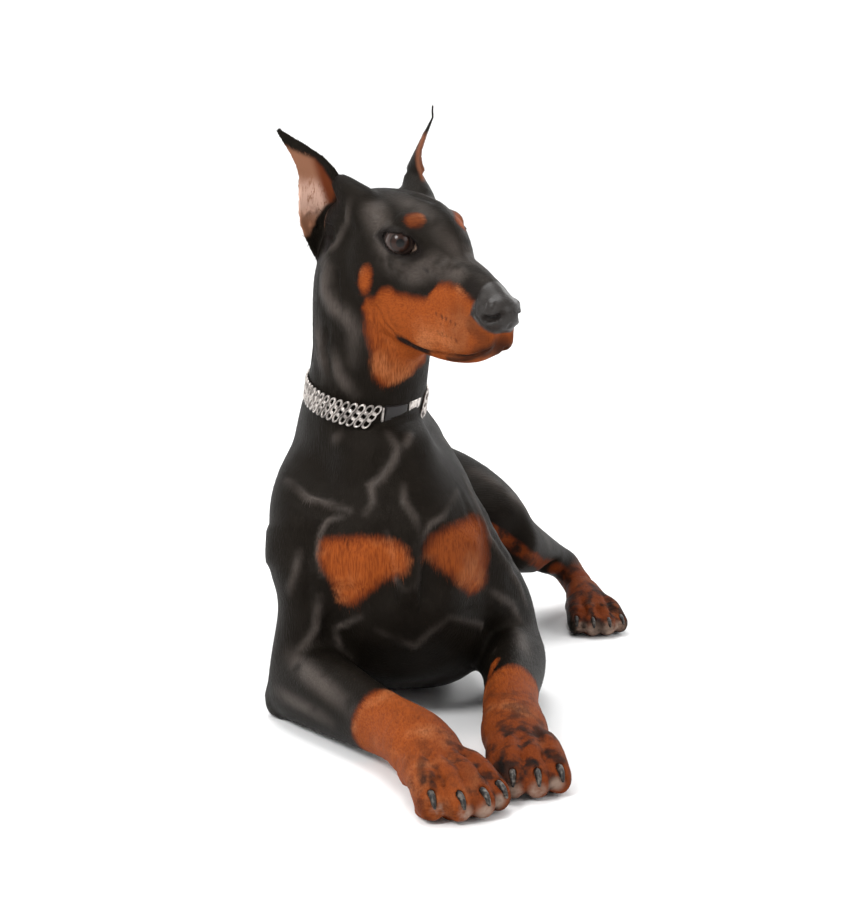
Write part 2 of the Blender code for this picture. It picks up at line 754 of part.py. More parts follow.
EAR_SPINES = {
    "ear_right": ((-10.4, -5.0, -4.6), (-11.2, -6.1, 0.2), (-12.9, -7.4, 4.7), (-16.1, -10.1, 8.4)),
    "ear_left": ((-9.4, 5.3, -2.4), (-9.9, 6.4, 2.0), (-11.1, 7.3, 6.6), (-12.9, 8.1, 11.4)),
}
EAR_FACES = {
    "ear_right": (FORWARD * 0.55 - LEFT * 0.8, FORWARD * 0.75 - LEFT * 0.5),
    "ear_left": (FORWARD * 0.6 + LEFT * 0.8, FORWARD * 0.66 + LEFT * 0.74),
}


# ---------------------------------------------------------------- cells that part the body

def cell(at, ahead, up, reach, half_width, half_height, grow=0.0):
    """A box that starts on the plane at a point and runs ahead; grow moves its walls out."""
    ahead = Vector(ahead).normalized()
    side = ahead.cross(Vector(up)).normalized()
    rise = side.cross(ahead)
    middle = Vector(at) * CM + ahead * reach * CM / 2
    turn = Matrix([side, ahead, rise]).transposed().to_4x4()
    size = Matrix.Diagonal((
        2 * (half_width * CM + grow), reach * CM + 2 * grow, 2 * (half_height * CM + grow), 1,
    ))
    bm = bmesh.new()
    place = Matrix.Translation(middle) @ turn @ size
    bmesh.ops.create_cube(bm, size=1, matrix=place)
    mesh = bpy.data.meshes.new("cell")
    bm.to_mesh(mesh)
    bm.free()
    made = bpy.data.objects.new("cell", mesh)
    bpy.context.scene.collection.objects.link(made)
    made.hide_render = True
    made.display_type = "WIRE"
    return made


def cells():
    """Each limb's cell: where it starts, its way, its up, its reach and half sizes."""
    head_way = FORWARD * HEAD_BASE_FORWARD + UP * HEAD_BASE_UP
    found = {
        "head": (on_head(-8.6, 0, -7.2), head_way, FORWARD, 34, 15, 18),
        "neck": (NECK_BASE, NECK_WAY, (0, -1, 0), 40, 13, 13),
        "tail": ((-6.1, 46.2, 19.8), (0, 1, 0.05), (0, 0, 1), 12, 4, 4),
        "foreleg_right": ((-12.9, -9.2, 2.4), (0.42, -0.91, 0), (0, 0, 1), 40, 4.6, 7.0),
        "forepaw_right": ((1.5, -37.6, 3.0), (0.42, -0.91, 0), (0, 0, 1), 18, 7, 6.5),
        "foreleg_left": ((13.5, 0.2, 2.4), (-0.04, -1, 0), (0, 0, 1), 50, 4.8, 7.0),
        "forepaw_left": ((12.3, -31.6, 3.0), (0.1, -1, 0), (0, 0, 1), 18, 7, 6.5),
        "shank_left": ((14.2, 20.8, 10.6), (0.42, 0.85, -0.3), (0, 0, 1), 26, 5.0, 5.6),
        "thigh_left": ((4.0, 27.0, 14.0), (0.957, 0.29, 0), (0, 0, 1), 22, 15.5, 16),
        "thigh_right": ((-7.2, 28.0, 12.5), (-0.86, 0.1, -0.5), (0, 1, 0), 18, 14, 15),
        "hindpaw_left": ((22.9, 28.6, 2.0), (0.16, -1, 0), (0, 0, 1), 14, 6, 6),
        "hindpaw_right": ((3.2, 35.2, 2.0), (0.8, -0.6, 0), (0, 0, 1), 14, 6, 3.6),
    }
    return found


def cell_of(name, grow):
    """The named cell's box, grown or shrunk."""
    at, ahead, up, reach, half_width, half_height = cells()[name]
    return cell(at, ahead, up, reach, half_width, half_height, grow)


def copy_of(source, name):
    """A copy of an object and its mesh."""
    made = source.copy()
    made.data = source.data.copy()
    made.name = name
    bpy.context.scene.collection.objects.link(made)
    return made


def grown_copy(source, by):
    """A copy of a body with its skin moved out along its normals."""
    made = copy_of(source, "grown")
    for vert in made.data.vertices:
        vert.co += vert.normal * by
    return made


def carve(source, name, inside, outside, finish):
    """The part of a body inside some cells and outside others, with the gap between."""
    part = copy_of(source, name)
    for other in inside:
        combine(part, cell_of(other, -GAP / 2), "INTERSECT")
    for other in outside:
        combine(part, cell_of(other, GAP / 2), "DIFFERENCE")
    keep_largest(part)
    part.data.materials.clear()
    part.data.materials.append(finish)
    return part


# ---------------------------------------------------------------- the collar

def collar_frame():
    """Across, ahead and up of the collar's ring."""
    across = Vector((math.cos(COLLAR_ROLL), 0, -math.sin(COLLAR_ROLL)))
    ahead = Vector((0, -math.cos(COLLAR_TILT), -math.sin(COLLAR_TILT)))
    ahead = (ahead - across * across.dot(ahead)).normalized()
    return across, ahead, ahead.cross(across)


def collar_place(turn, out, rise):
    """A point on the collar: the turn from straight ahead towards the left side."""
    across, ahead, up = collar_frame()
    return (COLLAR_AT
            + across * math.sin(turn) * (COLLAR_HALF_ACROSS + out)
            + ahead * math.cos(turn) * (COLLAR_HALF_AHEAD + out)
            + up * rise) * CM


def collar_band(name, start, end, pieces, profile, finish):
    """A length of band between two turns, swept with a profile of (out, rise)."""
    bm = bmesh.new()
    rings = []
    for i in range(pieces + 1):
        share = i / pieces
        turn = start + (end - start) * share
        rings.append([
            bm.verts.new(collar_place(turn, out, rise))
            for out, rise in profile(share * pieces)
        ])
    count = len(rings[0])
    for ring, following in zip(rings, rings[1:]):
        for k in range(count):
            after = (k + 1) % count
            bm.faces.new((ring[k], ring[after], following[after], following[k]))
    bm.faces.new(list(reversed(rings[0])))
    bm.faces.new(rings[-1])
    bmesh.ops.recalc_face_normals(bm, faces=bm.faces)
    bmesh.ops.triangulate(bm, faces=[f for f in bm.faces if len(f.verts) > 4])
    return finished(name, bm, finish)


def chain_profile(step):
    """Three rows of links as a ridged band, waisted between one link and the next."""
    swell = 0.62 + 0.38 * abs(math.cos(math.pi * step / 2))
    half = COLLAR_WIDTH / 2
    rows = []
    for row in range(COLLAR_ROWS):
        low = -half + COLLAR_WIDTH * row / COLLAR_ROWS
        high = low + COLLAR_WIDTH / COLLAR_ROWS
        rows += [(COLLAR_THICK * 0.45, low + 0.02), (COLLAR_THICK * swell, (low + high) / 2)]
    rows.append((COLLAR_THICK * 0.45, half - 0.02))
    return rows + [(0.0, half), (0.0, -half)]


def buckle_profile(step):
    """A box section, thicker than the chain."""
    half = COLLAR_WIDTH / 2 - 0.1
    return [(0.0, -half), (0.5, -half), (0.75, -half + 0.3), (0.75, half - 0.3),
            (0.5, half), (0.0, half)]


def build_collar(chain, plastic):
    """The chain round the neck and the black clasp on its left front."""
    margin = GAP / CM / COLLAR_HALF_ACROSS * 1.6
    start = BUCKLE_TO + margin
    end = BUCKLE_FROM - margin + 2 * math.pi
    collar_band("collar_chain", start, end, COLLAR_LINKS * 2, chain_profile, chain)
    collar_band("collar_clasp", BUCKLE_FROM, BUCKLE_TO, 6, buckle_profile, plastic)


def collar_groove():
    """The solid ring that the coat under the collar is pressed in by."""
    bm = bmesh.new()
    half = COLLAR_WIDTH / 2 + 0.03
    inner = -GAP / CM
    profile = ((inner, -half), (1.6, -half), (1.6, half), (inner, half))
    rings = []
    pieces = 48
    for i in range(pieces):
        turn = 2 * math.pi * i / pieces
        rings.append([bm.verts.new(collar_place(turn, out, rise)) for out, rise in profile])
    for i, ring in enumerate(rings):
        following = rings[(i + 1) % pieces]
        for k in range(4):
            after = (k + 1) % 4
            bm.faces.new((ring[k], ring[after], following[after], following[k]))
    bmesh.ops.recalc_face_normals(bm, faces=bm.faces)
    mesh = bpy.data.meshes.new("groove")
    bm.to_mesh(mesh)
    bm.free()
    made = bpy.data.objects.new("groove", mesh)
    bpy.context.scene.collection.objects.link(made)
    made.hide_render = True
    made.display_type = "WIRE"
    return made


# ---------------------------------------------------------------- the whole dog

def sphere(name, centre, radius, finish, detail=3):
    """A ball object."""
    bm = bmesh.new()
    add_ball(bm, centre, (radius,) * 3, detail=detail)
    return finished(name, bm, finish)


def main():
    for old in list(bpy.data.objects):
        bpy.data.objects.remove(old, do_unlink=True)
    black = material("black_coat", BLACK_COAT, 0.45)
    rust = material("rust_coat", RUST_COAT, 0.55)
    iris = material("eye", IRIS_BROWN, 0.08)
    horn = material("claw", CLAW_GREY, 0.4)
    silver = material("chain", CHAIN_SILVER, 0.25, 1.0)
    plastic = material("clasp", BUCKLE_BLACK, 0.4)

    bm = bmesh.new()
    build_body(bm)
    build_head(bm)
    for paw in PAWS.values():
        paw.build(bm)
    body = finished("body", bm, black)
    fuse(body, 0.36, 44)
    level_floor(body)
    thin(body, BODY_FACES)
    level_floor(body)

    bm = bmesh.new()
    build_head(bm)
    add_tube(bm, NECK, across=Vector((1, 0, 0)), sides=28)
    skull = finished("skull", bm, black)
    fuse(skull, 0.18, 70)
    sculpt_face(skull)
    thin(skull, HEAD_FACES)

    carve(body, "torso", (), list(cells()), black)
    neck = carve(body, "neck", ["neck"], ["head"], black)
    combine(neck, collar_groove(), "DIFFERENCE")
    keep_largest(neck)
    head = carve(skull, "head", ["head"], [], black)
    carve(body, "tail", ["tail"], [], black)
    carve(body, "foreleg_right", ["foreleg_right"], ["forepaw_right"], black)
    carve(body, "foreleg_left", ["foreleg_left"], ["forepaw_left"], black)
    carve(body, "shank_left", ["shank_left"], ["hindpaw_left"], black)
    carve(body, "thigh_left", ["thigh_left"], ["shank_left", "hindpaw_left"], black)
    carve(body, "thigh_right", ["thigh_right"], ["hindpaw_right"], black)
    bpy.data.objects.remove(body, do_unlink=True)
    bpy.data.objects.remove(skull, do_unlink=True)

    limbs = {"forepaw_right": FOREARM_RIGHT, "forepaw_left": FOREARM_LEFT,
             "hindpaw_left": FOOT_LEFT, "hindpaw_right": FOOT_RIGHT}
    for name, paw in PAWS.items():
        bm = bmesh.new()
        paw.build(bm)
        add_tube(bm, limbs[name])
        whole = finished("whole_" + name, bm, rust)
        fuse(whole, 0.18, 14)
        level_floor(whole)
        thin(whole, FOREPAW_FACES if name.startswith("fore") else HINDPAW_FACES)
        level_floor(whole)
        foot = carve(whole, name, [name], [], rust)
        bpy.data.objects.remove(whole, do_unlink=True)
        if name == "forepaw_left":
            combine(foot, grown_copy(bpy.data.objects["forepaw_right"], GAP), "DIFFERENCE")
            keep_largest(foot)
        for count, toe in enumerate(paw.toes, 1):
            rows = paw.claw(toe)
            bm = bmesh.new()
            add_tube(bm, rows, sides=CLAW_SIDES, steps=1)
            claw = finished(f"claw_{name}_{count}", bm, horn)
            bm = bmesh.new()
            grown = [(x, y, z, w + 0.03, h + 0.03) for x, y, z, w, h in rows]
            add_tube(bm, grown, sides=CLAW_SIDES, steps=1)
            combine(foot, finished("socket", bm, horn), "DIFFERENCE")

    for side, name in ((-1, "right"), (1, "left")):
        centre = eye_centre(side)
        combine(head, eye_opening(side), "DIFFERENCE")
        combine(head, sphere("socket", centre, EYE_RADIUS + 0.03, iris), "DIFFERENCE")
        sphere("eye_" + name, centre, EYE_RADIUS, iris, detail=3)

    for name, spine in EAR_SPINES.items():
        opening, lean = EAR_FACES[name]
        blade = ear(name, [tuple(on_head(*p)) for p in spine], opening, lean, black)
        combine(blade, grown_copy(head, GAP), "DIFFERENCE")
        combine(blade, grown_copy(neck, GAP), "DIFFERENCE", "MANIFOLD")
        keep_largest(blade)
    build_collar(silver, plastic)


main()
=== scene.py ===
# %% [markdown]
# # A doberman lying down
#
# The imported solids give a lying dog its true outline, parted into head, neck, torso and legs.
# A real dog has one skin, so this lesson lays two fine skins over the parted solids, which pass
# each other unseen under the collar. It sculpts their folds, gives them a black and rust coat,
# and adds hair, eyes, claws and a collar.
#
# The solids could be shown as they are, but their seams and flat facets would show. A skin
# drawn by hand could drift from them. A remesh of the solids themselves stays true.

# %% Load the solids
import math

import bmesh
import bpy
import numpy as np
from mathutils import Matrix, Vector


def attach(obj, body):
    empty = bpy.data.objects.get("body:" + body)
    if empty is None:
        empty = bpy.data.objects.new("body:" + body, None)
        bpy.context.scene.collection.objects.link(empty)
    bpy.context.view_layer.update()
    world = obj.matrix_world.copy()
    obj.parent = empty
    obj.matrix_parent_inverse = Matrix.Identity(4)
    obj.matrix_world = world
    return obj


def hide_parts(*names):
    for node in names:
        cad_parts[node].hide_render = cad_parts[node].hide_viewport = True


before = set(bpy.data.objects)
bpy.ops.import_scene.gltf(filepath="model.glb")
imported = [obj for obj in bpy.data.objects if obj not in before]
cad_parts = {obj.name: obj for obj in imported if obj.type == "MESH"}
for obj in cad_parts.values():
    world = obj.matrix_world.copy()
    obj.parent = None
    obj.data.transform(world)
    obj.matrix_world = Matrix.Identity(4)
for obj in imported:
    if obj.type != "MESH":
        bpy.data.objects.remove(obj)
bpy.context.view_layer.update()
scene = bpy.context.scene
CM = 0.01

# %% [markdown]
# ## Places on the dog
#
# The dog looks along -Y, its left is +X and the floor is z = 0. Body places are centimetres
# in that frame. The head is turned and dipped, so places on it are given forward, left and up
# from the point between the eyes. Then one list serves both halves of the face.

# %% The head's own axes
HEAD_AT = Vector((3.8, -19.0, 52.6))
HEAD_YAW = math.radians(37)
HEAD_PITCH = math.radians(12)
FORWARD = Vector((
    math.sin(HEAD_YAW) * math.cos(HEAD_PITCH),
    -math.cos(HEAD_YAW) * math.cos(HEAD_PITCH),
    -math.sin(HEAD_PITCH),
))
LEFT = Vector((math.cos(HEAD_YAW), math.sin(HEAD_YAW), 0))
UP = FORWARD.cross(LEFT)
HEAD_TURN = np.array([FORWARD, LEFT, UP])


def on_head(f, l, u):
    """A body place in cm from a place on the head."""
    return tuple(HEAD_AT + FORWARD * f + LEFT * l + UP * u)


def both_sides(path):
    """A path on the head's left side, and its mirror image, as body places."""
    return [[on_head(f, side * l, u) for f, l, u in path] for side in (1, -1)]


def to_head(places):
    """Places in metres as forward, left and up in cm."""
    return (places / CM - np.array(HEAD_AT)) @ HEAD_TURN.T


print("forward", [round(v, 3) for v in FORWARD], "left", [round(v, 3) for v in LEFT])

# %% [markdown]
# ## The camera, the studio and its light
#
# A still model is shown in a plain studio. A flat floor against a flat wall leaves a line
# behind the dog. A photographer's sweep, a floor that curves up, leaves none, so a profile is
# spun round into a wide pale bowl that looks the same from every side.

# %% Camera
CAMERA_ASIDE = 0.03
CAMERA_BACK = 2.65
EYE_LEVEL = 0.75
CAMERA_DIP = math.radians(10.24)
camera_data = bpy.data.cameras.new("camera")
camera_data.lens = 94
camera_data.sensor_width = 36
camera_data.clip_end = 60
camera = bpy.data.objects.new("camera", camera_data)
camera.location = (CAMERA_ASIDE, -CAMERA_BACK, EYE_LEVEL)
camera.rotation_euler = (math.pi / 2 - CAMERA_DIP, 0, 0)
scene.collection.objects.link(camera)
scene.camera = camera
scene.view_settings.view_transform = "Standard"
print("camera", tuple(camera.location), "lens", camera_data.lens)

# %% Studio bowl
BOWL_FLAT = 5.0
BOWL_CURVE = 2.2
BOWL_WALL = 2.6
BOWL_STEPS = 8
BOWL_TURNS = 64


def linked(name, bm, finish=None):
    """An object made from a bmesh, shaded smooth."""
    mesh = bpy.data.meshes.new(name)
    bm.to_mesh(mesh)
    bm.free()
    mesh.shade_smooth()
    made = bpy.data.objects.new(name, mesh)
    scene.collection.objects.link(made)
    if finish:
        mesh.materials.append(finish)
    return made


bm = bmesh.new()
profile = [bm.verts.new((BOWL_FLAT, 0, 0))]
for k in range(1, BOWL_STEPS + 1):
    turn = math.pi / 2 * k / BOWL_STEPS
    profile.append(bm.verts.new((
        BOWL_FLAT + BOWL_CURVE * math.sin(turn), 0, BOWL_CURVE * (1 - math.cos(turn)))))
profile.append(bm.verts.new((BOWL_FLAT + BOWL_CURVE, 0, BOWL_CURVE + BOWL_WALL)))
edges = [bm.edges.new(pair) for pair in zip(profile, profile[1:])]
bmesh.ops.spin(bm, geom=profile + edges, axis=(0, 0, 1), cent=(0, 0, 0), angle=2 * math.pi,
               steps=BOWL_TURNS, use_merge=True)
# the hole in the middle is filled, and the bowl's upper rim stays open
bmesh.ops.holes_fill(bm, edges=[e for e in bm.edges if e.is_boundary and e.verts[0].co.z < 0.1])
bmesh.ops.recalc_face_normals(bm, faces=bm.faces)
studio = linked("studio_floor", bm)
print("studio faces", len(studio.data.polygons))

# %% Studio paint
def new_material(name, settings):
    """A material, its node tree and its shader, some of whose inputs are set."""
    made = bpy.data.materials.new(name)
    made.use_nodes = True
    shader = made.node_tree.nodes["Principled BSDF"]
    for label, value in settings.items():
        shader.inputs[label].default_value = value
    return made, made.node_tree, shader


paper, _, _ = new_material("studio_paper", {
    "Base Color": (0.86, 0.86, 0.86, 1), "Roughness": 0.9, "Specular IOR Level": 0.1})
studio.data.materials.append(paper)
print("studio paint", paper.name)

# %% Lamps
LAMPS = (
    # name, place, size, watts
    ("key", (-1.7, -2.5, 2.6), 1.3, 105),
    ("fill", (2.4, -2.0, 1.7), 1.8, 24),
    ("rim", (1.8, 2.2, 2.0), 1.2, 26),
    ("top", (-0.4, 0.4, 3.2), 2.0, 60),
    ("wall_left", (-4.2, 1.5, 3.0), 2.5, 160),
    ("wall_right", (4.2, 1.5, 3.0), 2.5, 160),
)
LAMP_AIM = Vector((0, 0, 0.25))
AIR_LIGHT = 0.75
for name, place, size, watts in LAMPS:
    lamp_data = bpy.data.lights.new(name, "AREA")
    lamp_data.shape = "DISK"
    lamp_data.size = size
    lamp_data.energy = watts
    lamp = bpy.data.objects.new(name, lamp_data)
    # the wall lamps light the bowl behind the dog, the others light the dog
    aim = LAMP_AIM if not name.startswith("wall") else Vector((place[0] * 1.2, 6, 0.8))
    lamp.location = place
    lamp.rotation_euler = (aim - Vector(place)).to_track_quat("-Z", "Y").to_euler()
    scene.collection.objects.link(lamp)
world = bpy.data.worlds.new("studio_air")
world.use_nodes = True
sky = world.node_tree.nodes["Background"]
sky.inputs["Color"].default_value = (1, 1, 1, 1)
sky.inputs["Strength"].default_value = AIR_LIGHT
scene.world = world
print("lamps", len(LAMPS))

# %% [markdown]
# ## One skin over the parted solids
#
# The solids stop a third of a millimetre short of each other. Copies of them are swelled just
# enough to overlap, and a voxel remesh then finds the one surface round them all. A fine grid
# everywhere would be heavy, so the head gets a fine skin and the body a coarser one, and they
# pass each other inside the neck, under the collar, where a real coat is pressed out of sight.

# %% Arrays in and out of a mesh
HEAD_NODES = ("head", "neck", "ear_right", "ear_left", "eye_right", "eye_left")
BODY_NODES = (
    "torso", "neck", "tail", "foreleg_right", "foreleg_left", "forepaw_right", "forepaw_left",
    "thigh_left", "shank_left", "hindpaw_left", "thigh_right", "hindpaw_right",
)


def rows_of(piece, what):
    """One vector of every vertex, one row each."""
    found = np.empty(len(piece.data.vertices) * 3)
    piece.data.vertices.foreach_get(what, found)
    return found.reshape(-1, 3)


def places_of(piece):
    """Every vertex's place, in metres."""
    return rows_of(piece, "co")


def normals_of(piece):
    """Every vertex's normal."""
    return rows_of(piece, "normal")


def move_to(piece, places):
    """Puts the vertices at these places."""
    piece.data.vertices.foreach_set("co", places.ravel())
    piece.data.update()


def settle(piece):
    """Bakes the modifiers of a piece into its mesh."""
    bpy.context.view_layer.update()
    graph = bpy.context.evaluated_depsgraph_get()
    baked = bpy.data.meshes.new_from_object(piece.evaluated_get(graph))
    piece.modifiers.clear()
    piece.data = baked
    baked.shade_smooth()


# %% Merge, swell and remesh
WELD = 1e-5
SWELL = 0.0004
HEAD_VOXEL = 0.0016
BODY_VOXEL = 0.0026


def one_skin(name, nodes, voxel):
    """A skin round copies of some solids."""
    bm = bmesh.new()
    for node in nodes:
        bm.from_mesh(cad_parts[node].data)
    bmesh.ops.remove_doubles(bm, verts=bm.verts, dist=WELD)
    bm.normal_update()
    for vert in bm.verts:
        vert.co += vert.normal * SWELL
    skin = linked(name, bm)
    remesh = skin.modifiers.new("skin", "REMESH")
    remesh.mode = "VOXEL"
    remesh.voxel_size = voxel
    settle(skin)
    return skin


head_skin = one_skin("skin_head", HEAD_NODES, HEAD_VOXEL)
body_skin = one_skin("skin_body", BODY_NODES, BODY_VOXEL)
print("head", len(head_skin.data.polygons), "body", len(body_skin.data.polygons))

# %% Part the two skins inside the neck, under the collar
# the collar's middle, how it tilts and rolls, and how far each skin runs past the other
COLLAR_AT = Vector((-3.45, -10.2, 35.4)) * CM
COLLAR_TILT = math.radians(9)
COLLAR_ROLL = math.radians(7)
COLLAR_ACROSS = Vector((math.cos(COLLAR_ROLL), 0, -math.sin(COLLAR_ROLL)))
COLLAR_AHEAD = Vector((0, -math.cos(COLLAR_TILT), -math.sin(COLLAR_TILT)))
COLLAR_AHEAD = (COLLAR_AHEAD - COLLAR_ACROSS * COLLAR_AHEAD.dot(COLLAR_ACROSS)).normalized()
COLLAR_UP = COLLAR_AHEAD.cross(COLLAR_ACROSS)
OVERLAP = 0.004


def cut_at_collar(skin, keep_above, reach):
    """Cuts a skin by the collar's plane, closes it and keeps one side."""
    bm = bmesh.new()
    bm.from_mesh(skin.data)
    cut = COLLAR_AT - COLLAR_UP * (reach if keep_above else -reach)
    way = COLLAR_UP if keep_above else -COLLAR_UP
    bmesh.ops.bisect_plane(bm, geom=bm.verts[:] + bm.edges[:] + bm.faces[:], plane_co=cut,
                           plane_no=way, clear_inner=True)
    bmesh.ops.holes_fill(bm, edges=[e for e in bm.edges if e.is_boundary])
    bm.to_mesh(skin.data)
    bm.free()


cut_at_collar(head_skin, True, OVERLAP)
cut_at_collar(body_skin, False, OVERLAP)
print("head", len(head_skin.data.polygons), "body", len(body_skin.data.polygons))

# %% [markdown]
# ## Softening
#
# The solids have flat facets a few centimetres wide. Smoothing rubs them away, but it would
# also rub away toes, lips and ear rims. A vertex group holds how much each place is smoothed:
# fully on the trunk and the neck, by half on the face, and hardly at all on paws and ears.

# %% How far a place is from a path
def near(places, path):
    """Each place's distance in cm to a path of body places, and how far along it is."""
    points = places / CM
    best = np.full(len(points), np.inf)
    along = np.zeros(len(points))
    steps = max(len(path) - 1, 1)
    ends = path[1:] if len(path) > 1 else path
    for i, (start, end) in enumerate(zip(path, ends)):
        start = np.array(start, dtype=float)
        run = np.array(end, dtype=float) - start
        length = max(run @ run, 1e-9)
        t = np.clip((points - start) @ run / length, 0, 1)
        gap = np.linalg.norm(points - start - t[:, None] * run, axis=1)
        nearer = gap < best
        best = np.where(nearer, gap, best)
        along = np.where(nearer, (i + t) / steps, along)
    return best, along


def ramp(value, low, high):
    """0 below low, 1 above high, and an even S between them."""
    t = np.clip((value - low) / (high - low), 0, 1)
    return t * t * (3 - 2 * t)


# %% Smooth the trunk, spare the paws and the ears
BODY_ROUNDS = 90
HEAD_ROUNDS = 40
FACE_SOFT = 0.55
NECK_SOFTER = 0.45
EARS_CRISPER = 0.42
WEIGHT_STEPS = 20
PAW_LINES = (
    # a line along each paw, and the reach round it that stays crisp
    (((3.0, -40.9, 3), (7.5, -50.0, 2)), 6.5),
    (((12.3, -34.4, 3), (12.8, -43.6, 2)), 6.5),
    (((23.3, 27.0, 3), (24.9, 19.0, 2)), 5.0),
    (((4.8, 34.0, 3), (9.6, 30.0, 2)), 5.0),
)
EAR_LINES = {
    # up the middle of each ear, by its side, as places on the head
    -1: ((-10.4, -5.0, -4.6), (-11.2, -6.1, 0.2), (-12.9, -7.4, 4.7), (-16.1, -10.1, 8.4)),
    1: ((-9.4, 5.3, -2.4), (-9.9, 6.4, 2.0), (-11.1, 7.3, 6.6), (-12.9, 8.1, 11.4)),
}


def set_group(piece, name, weights):
    """The piece's one vertex group, with a weight a vertex in even steps."""
    piece.vertex_groups.clear()
    group = piece.vertex_groups.new(name=name)
    steps = np.round(np.clip(weights, 0, 1) * WEIGHT_STEPS).astype(int)
    for step in range(1, WEIGHT_STEPS + 1):
        members = np.nonzero(steps == step)[0]
        if len(members):
            group.add(members.tolist(), step / WEIGHT_STEPS, "REPLACE")


def soften(piece, rounds, weights):
    """Smooths a piece by the weights."""
    set_group(piece, "soft", weights)
    smooth = piece.modifiers.new("soften", "SMOOTH")
    smooth.factor = 0.5
    smooth.iterations = rounds
    smooth.vertex_group = "soft"
    settle(piece)


places = places_of(body_skin)
crisp = np.zeros(len(places))
for line, reach in PAW_LINES:
    gap, _ = near(places, line)
    crisp = np.maximum(crisp, 1 - ramp(gap, reach * 0.75, reach * 1.2))
soften(body_skin, BODY_ROUNDS, 1 - 0.94 * crisp)

places = places_of(head_skin)
ears = np.zeros(len(places))
for line in EAR_LINES.values():
    gap, along = near(places, [on_head(*p) for p in line])
    ears = np.maximum(ears, (1 - ramp(gap, 2.6, 3.8)) * ramp(along, 0.2, 0.4))
neck_share = ramp(-to_head(places)[:, 2], 11, 15)
soft = FACE_SOFT + NECK_SOFTER * neck_share - EARS_CRISPER * ears
soften(head_skin, HEAD_ROUNDS, np.clip(soft, 0.05, 1))
print("soft places", int((crisp < 0.1).sum()), "crisp places", int((crisp > 0.9).sum()))

# %% Thin both skins, and keep the paws, the lids and the mouth fine
SKIN_TRIANGLES = 185000
TRUNK_KEPT = 0.35
HEAD_KEPT = 0.7
FINE_SPOTS = (
    # place on the head's left side and reach: the eye, the nostril, the lips and the chin
    ((-0.2, 4.2, 0.2), 2.9),
    ((12.6, 1.2, -4.0), 2.6),
    ((6.5, 2.4, -9.6), 2.4),
    ((2.4, 2.8, -10.4), 2.4),
    ((10.6, 1.6, -8.2), 2.4),
)


def thin_out(piece, keep):
    """Takes triangles from a piece, most of them where little is to be kept."""
    set_group(piece, "thin", 1 - keep)
    piece.data.calc_loop_triangles()
    thin = piece.modifiers.new("thin", "DECIMATE")
    thin.ratio = min(1, SKIN_TRIANGLES / len(piece.data.loop_triangles))
    thin.vertex_group = "thin"
    settle(piece)
    piece.data.calc_loop_triangles()
    print(piece.name, "triangles", len(piece.data.loop_triangles))


def refine(piece, spots):
    """Splits the faces round some places (centre and reach in cm) into finer ones."""
    places = places_of(piece) / CM
    fine = np.zeros(len(places), dtype=bool)
    for centre, reach in spots:
        fine |= np.linalg.norm(places - np.array(centre), axis=1) < reach
    bm = bmesh.new()
    bm.from_mesh(piece.data)
    chosen = [e for e in bm.edges if fine[e.verts[0].index] and fine[e.verts[1].index]]
    bmesh.ops.subdivide_edges(bm, edges=chosen, cuts=1, use_grid_fill=True)
    bm.to_mesh(piece.data)
    bm.free()
    piece.data.shade_smooth()


places = places_of(body_skin)
keep = np.full(len(places), TRUNK_KEPT)
for line, reach in PAW_LINES:
    gap, _ = near(places, line)
    keep = np.maximum(keep, 1 - ramp(gap, reach, reach * 1.3))
thin_out(body_skin, keep)

refine(head_skin, [(on_head(f, side * l, u), reach)
                   for side in (-1, 1) for (f, l, u), reach in FINE_SPOTS])
thin_out(head_skin, np.full(len(head_skin.data.vertices), HEAD_KEPT))

# %% [markdown]
# ## Muscles and folds
#
# A short coat hides nothing: the forearm's muscles, the keel of the breastbone and the folds of
# the throat all show as soft ridges. Each could be modelled as a lump and fused in, which leaves
# creases. Instead a ridge or a groove is a path with a reach and a height, and the skin is
# moved along its own normals near that path. Wide forms come first and fine ones after them.

# %% The sculptor
# how far along a path its ends run out
RUN_OUT = (-0.05, 0.22)


def sculpt(piece, lines):
    """Raises the skin near each path (or presses it, where the height is negative)."""
    places = places_of(piece)
    lift = np.zeros(len(places))
    for reach, height, path in lines:
        points = np.array(path) * CM
        low = points.min(axis=0) - reach * CM
        high = points.max(axis=0) + reach * CM
        close = np.nonzero(((places > low) & (places < high)).all(axis=1))[0]
        if not len(close):
            continue
        gap, along = near(places[close], path)
        fall = np.clip(1 - (gap / reach) ** 2, 0, None) ** 2
        if len(path) > 1:
            fall *= ramp(np.minimum(along, 1 - along), *RUN_OUT)
        lift[close] += fall * height * CM
    move_to(piece, places + normals_of(piece) * lift[:, None])
    print(piece.name, "moved", int((np.abs(lift) > 1e-5).sum()), "places, most",
          round(float(np.abs(lift).max() / CM), 2), "cm")


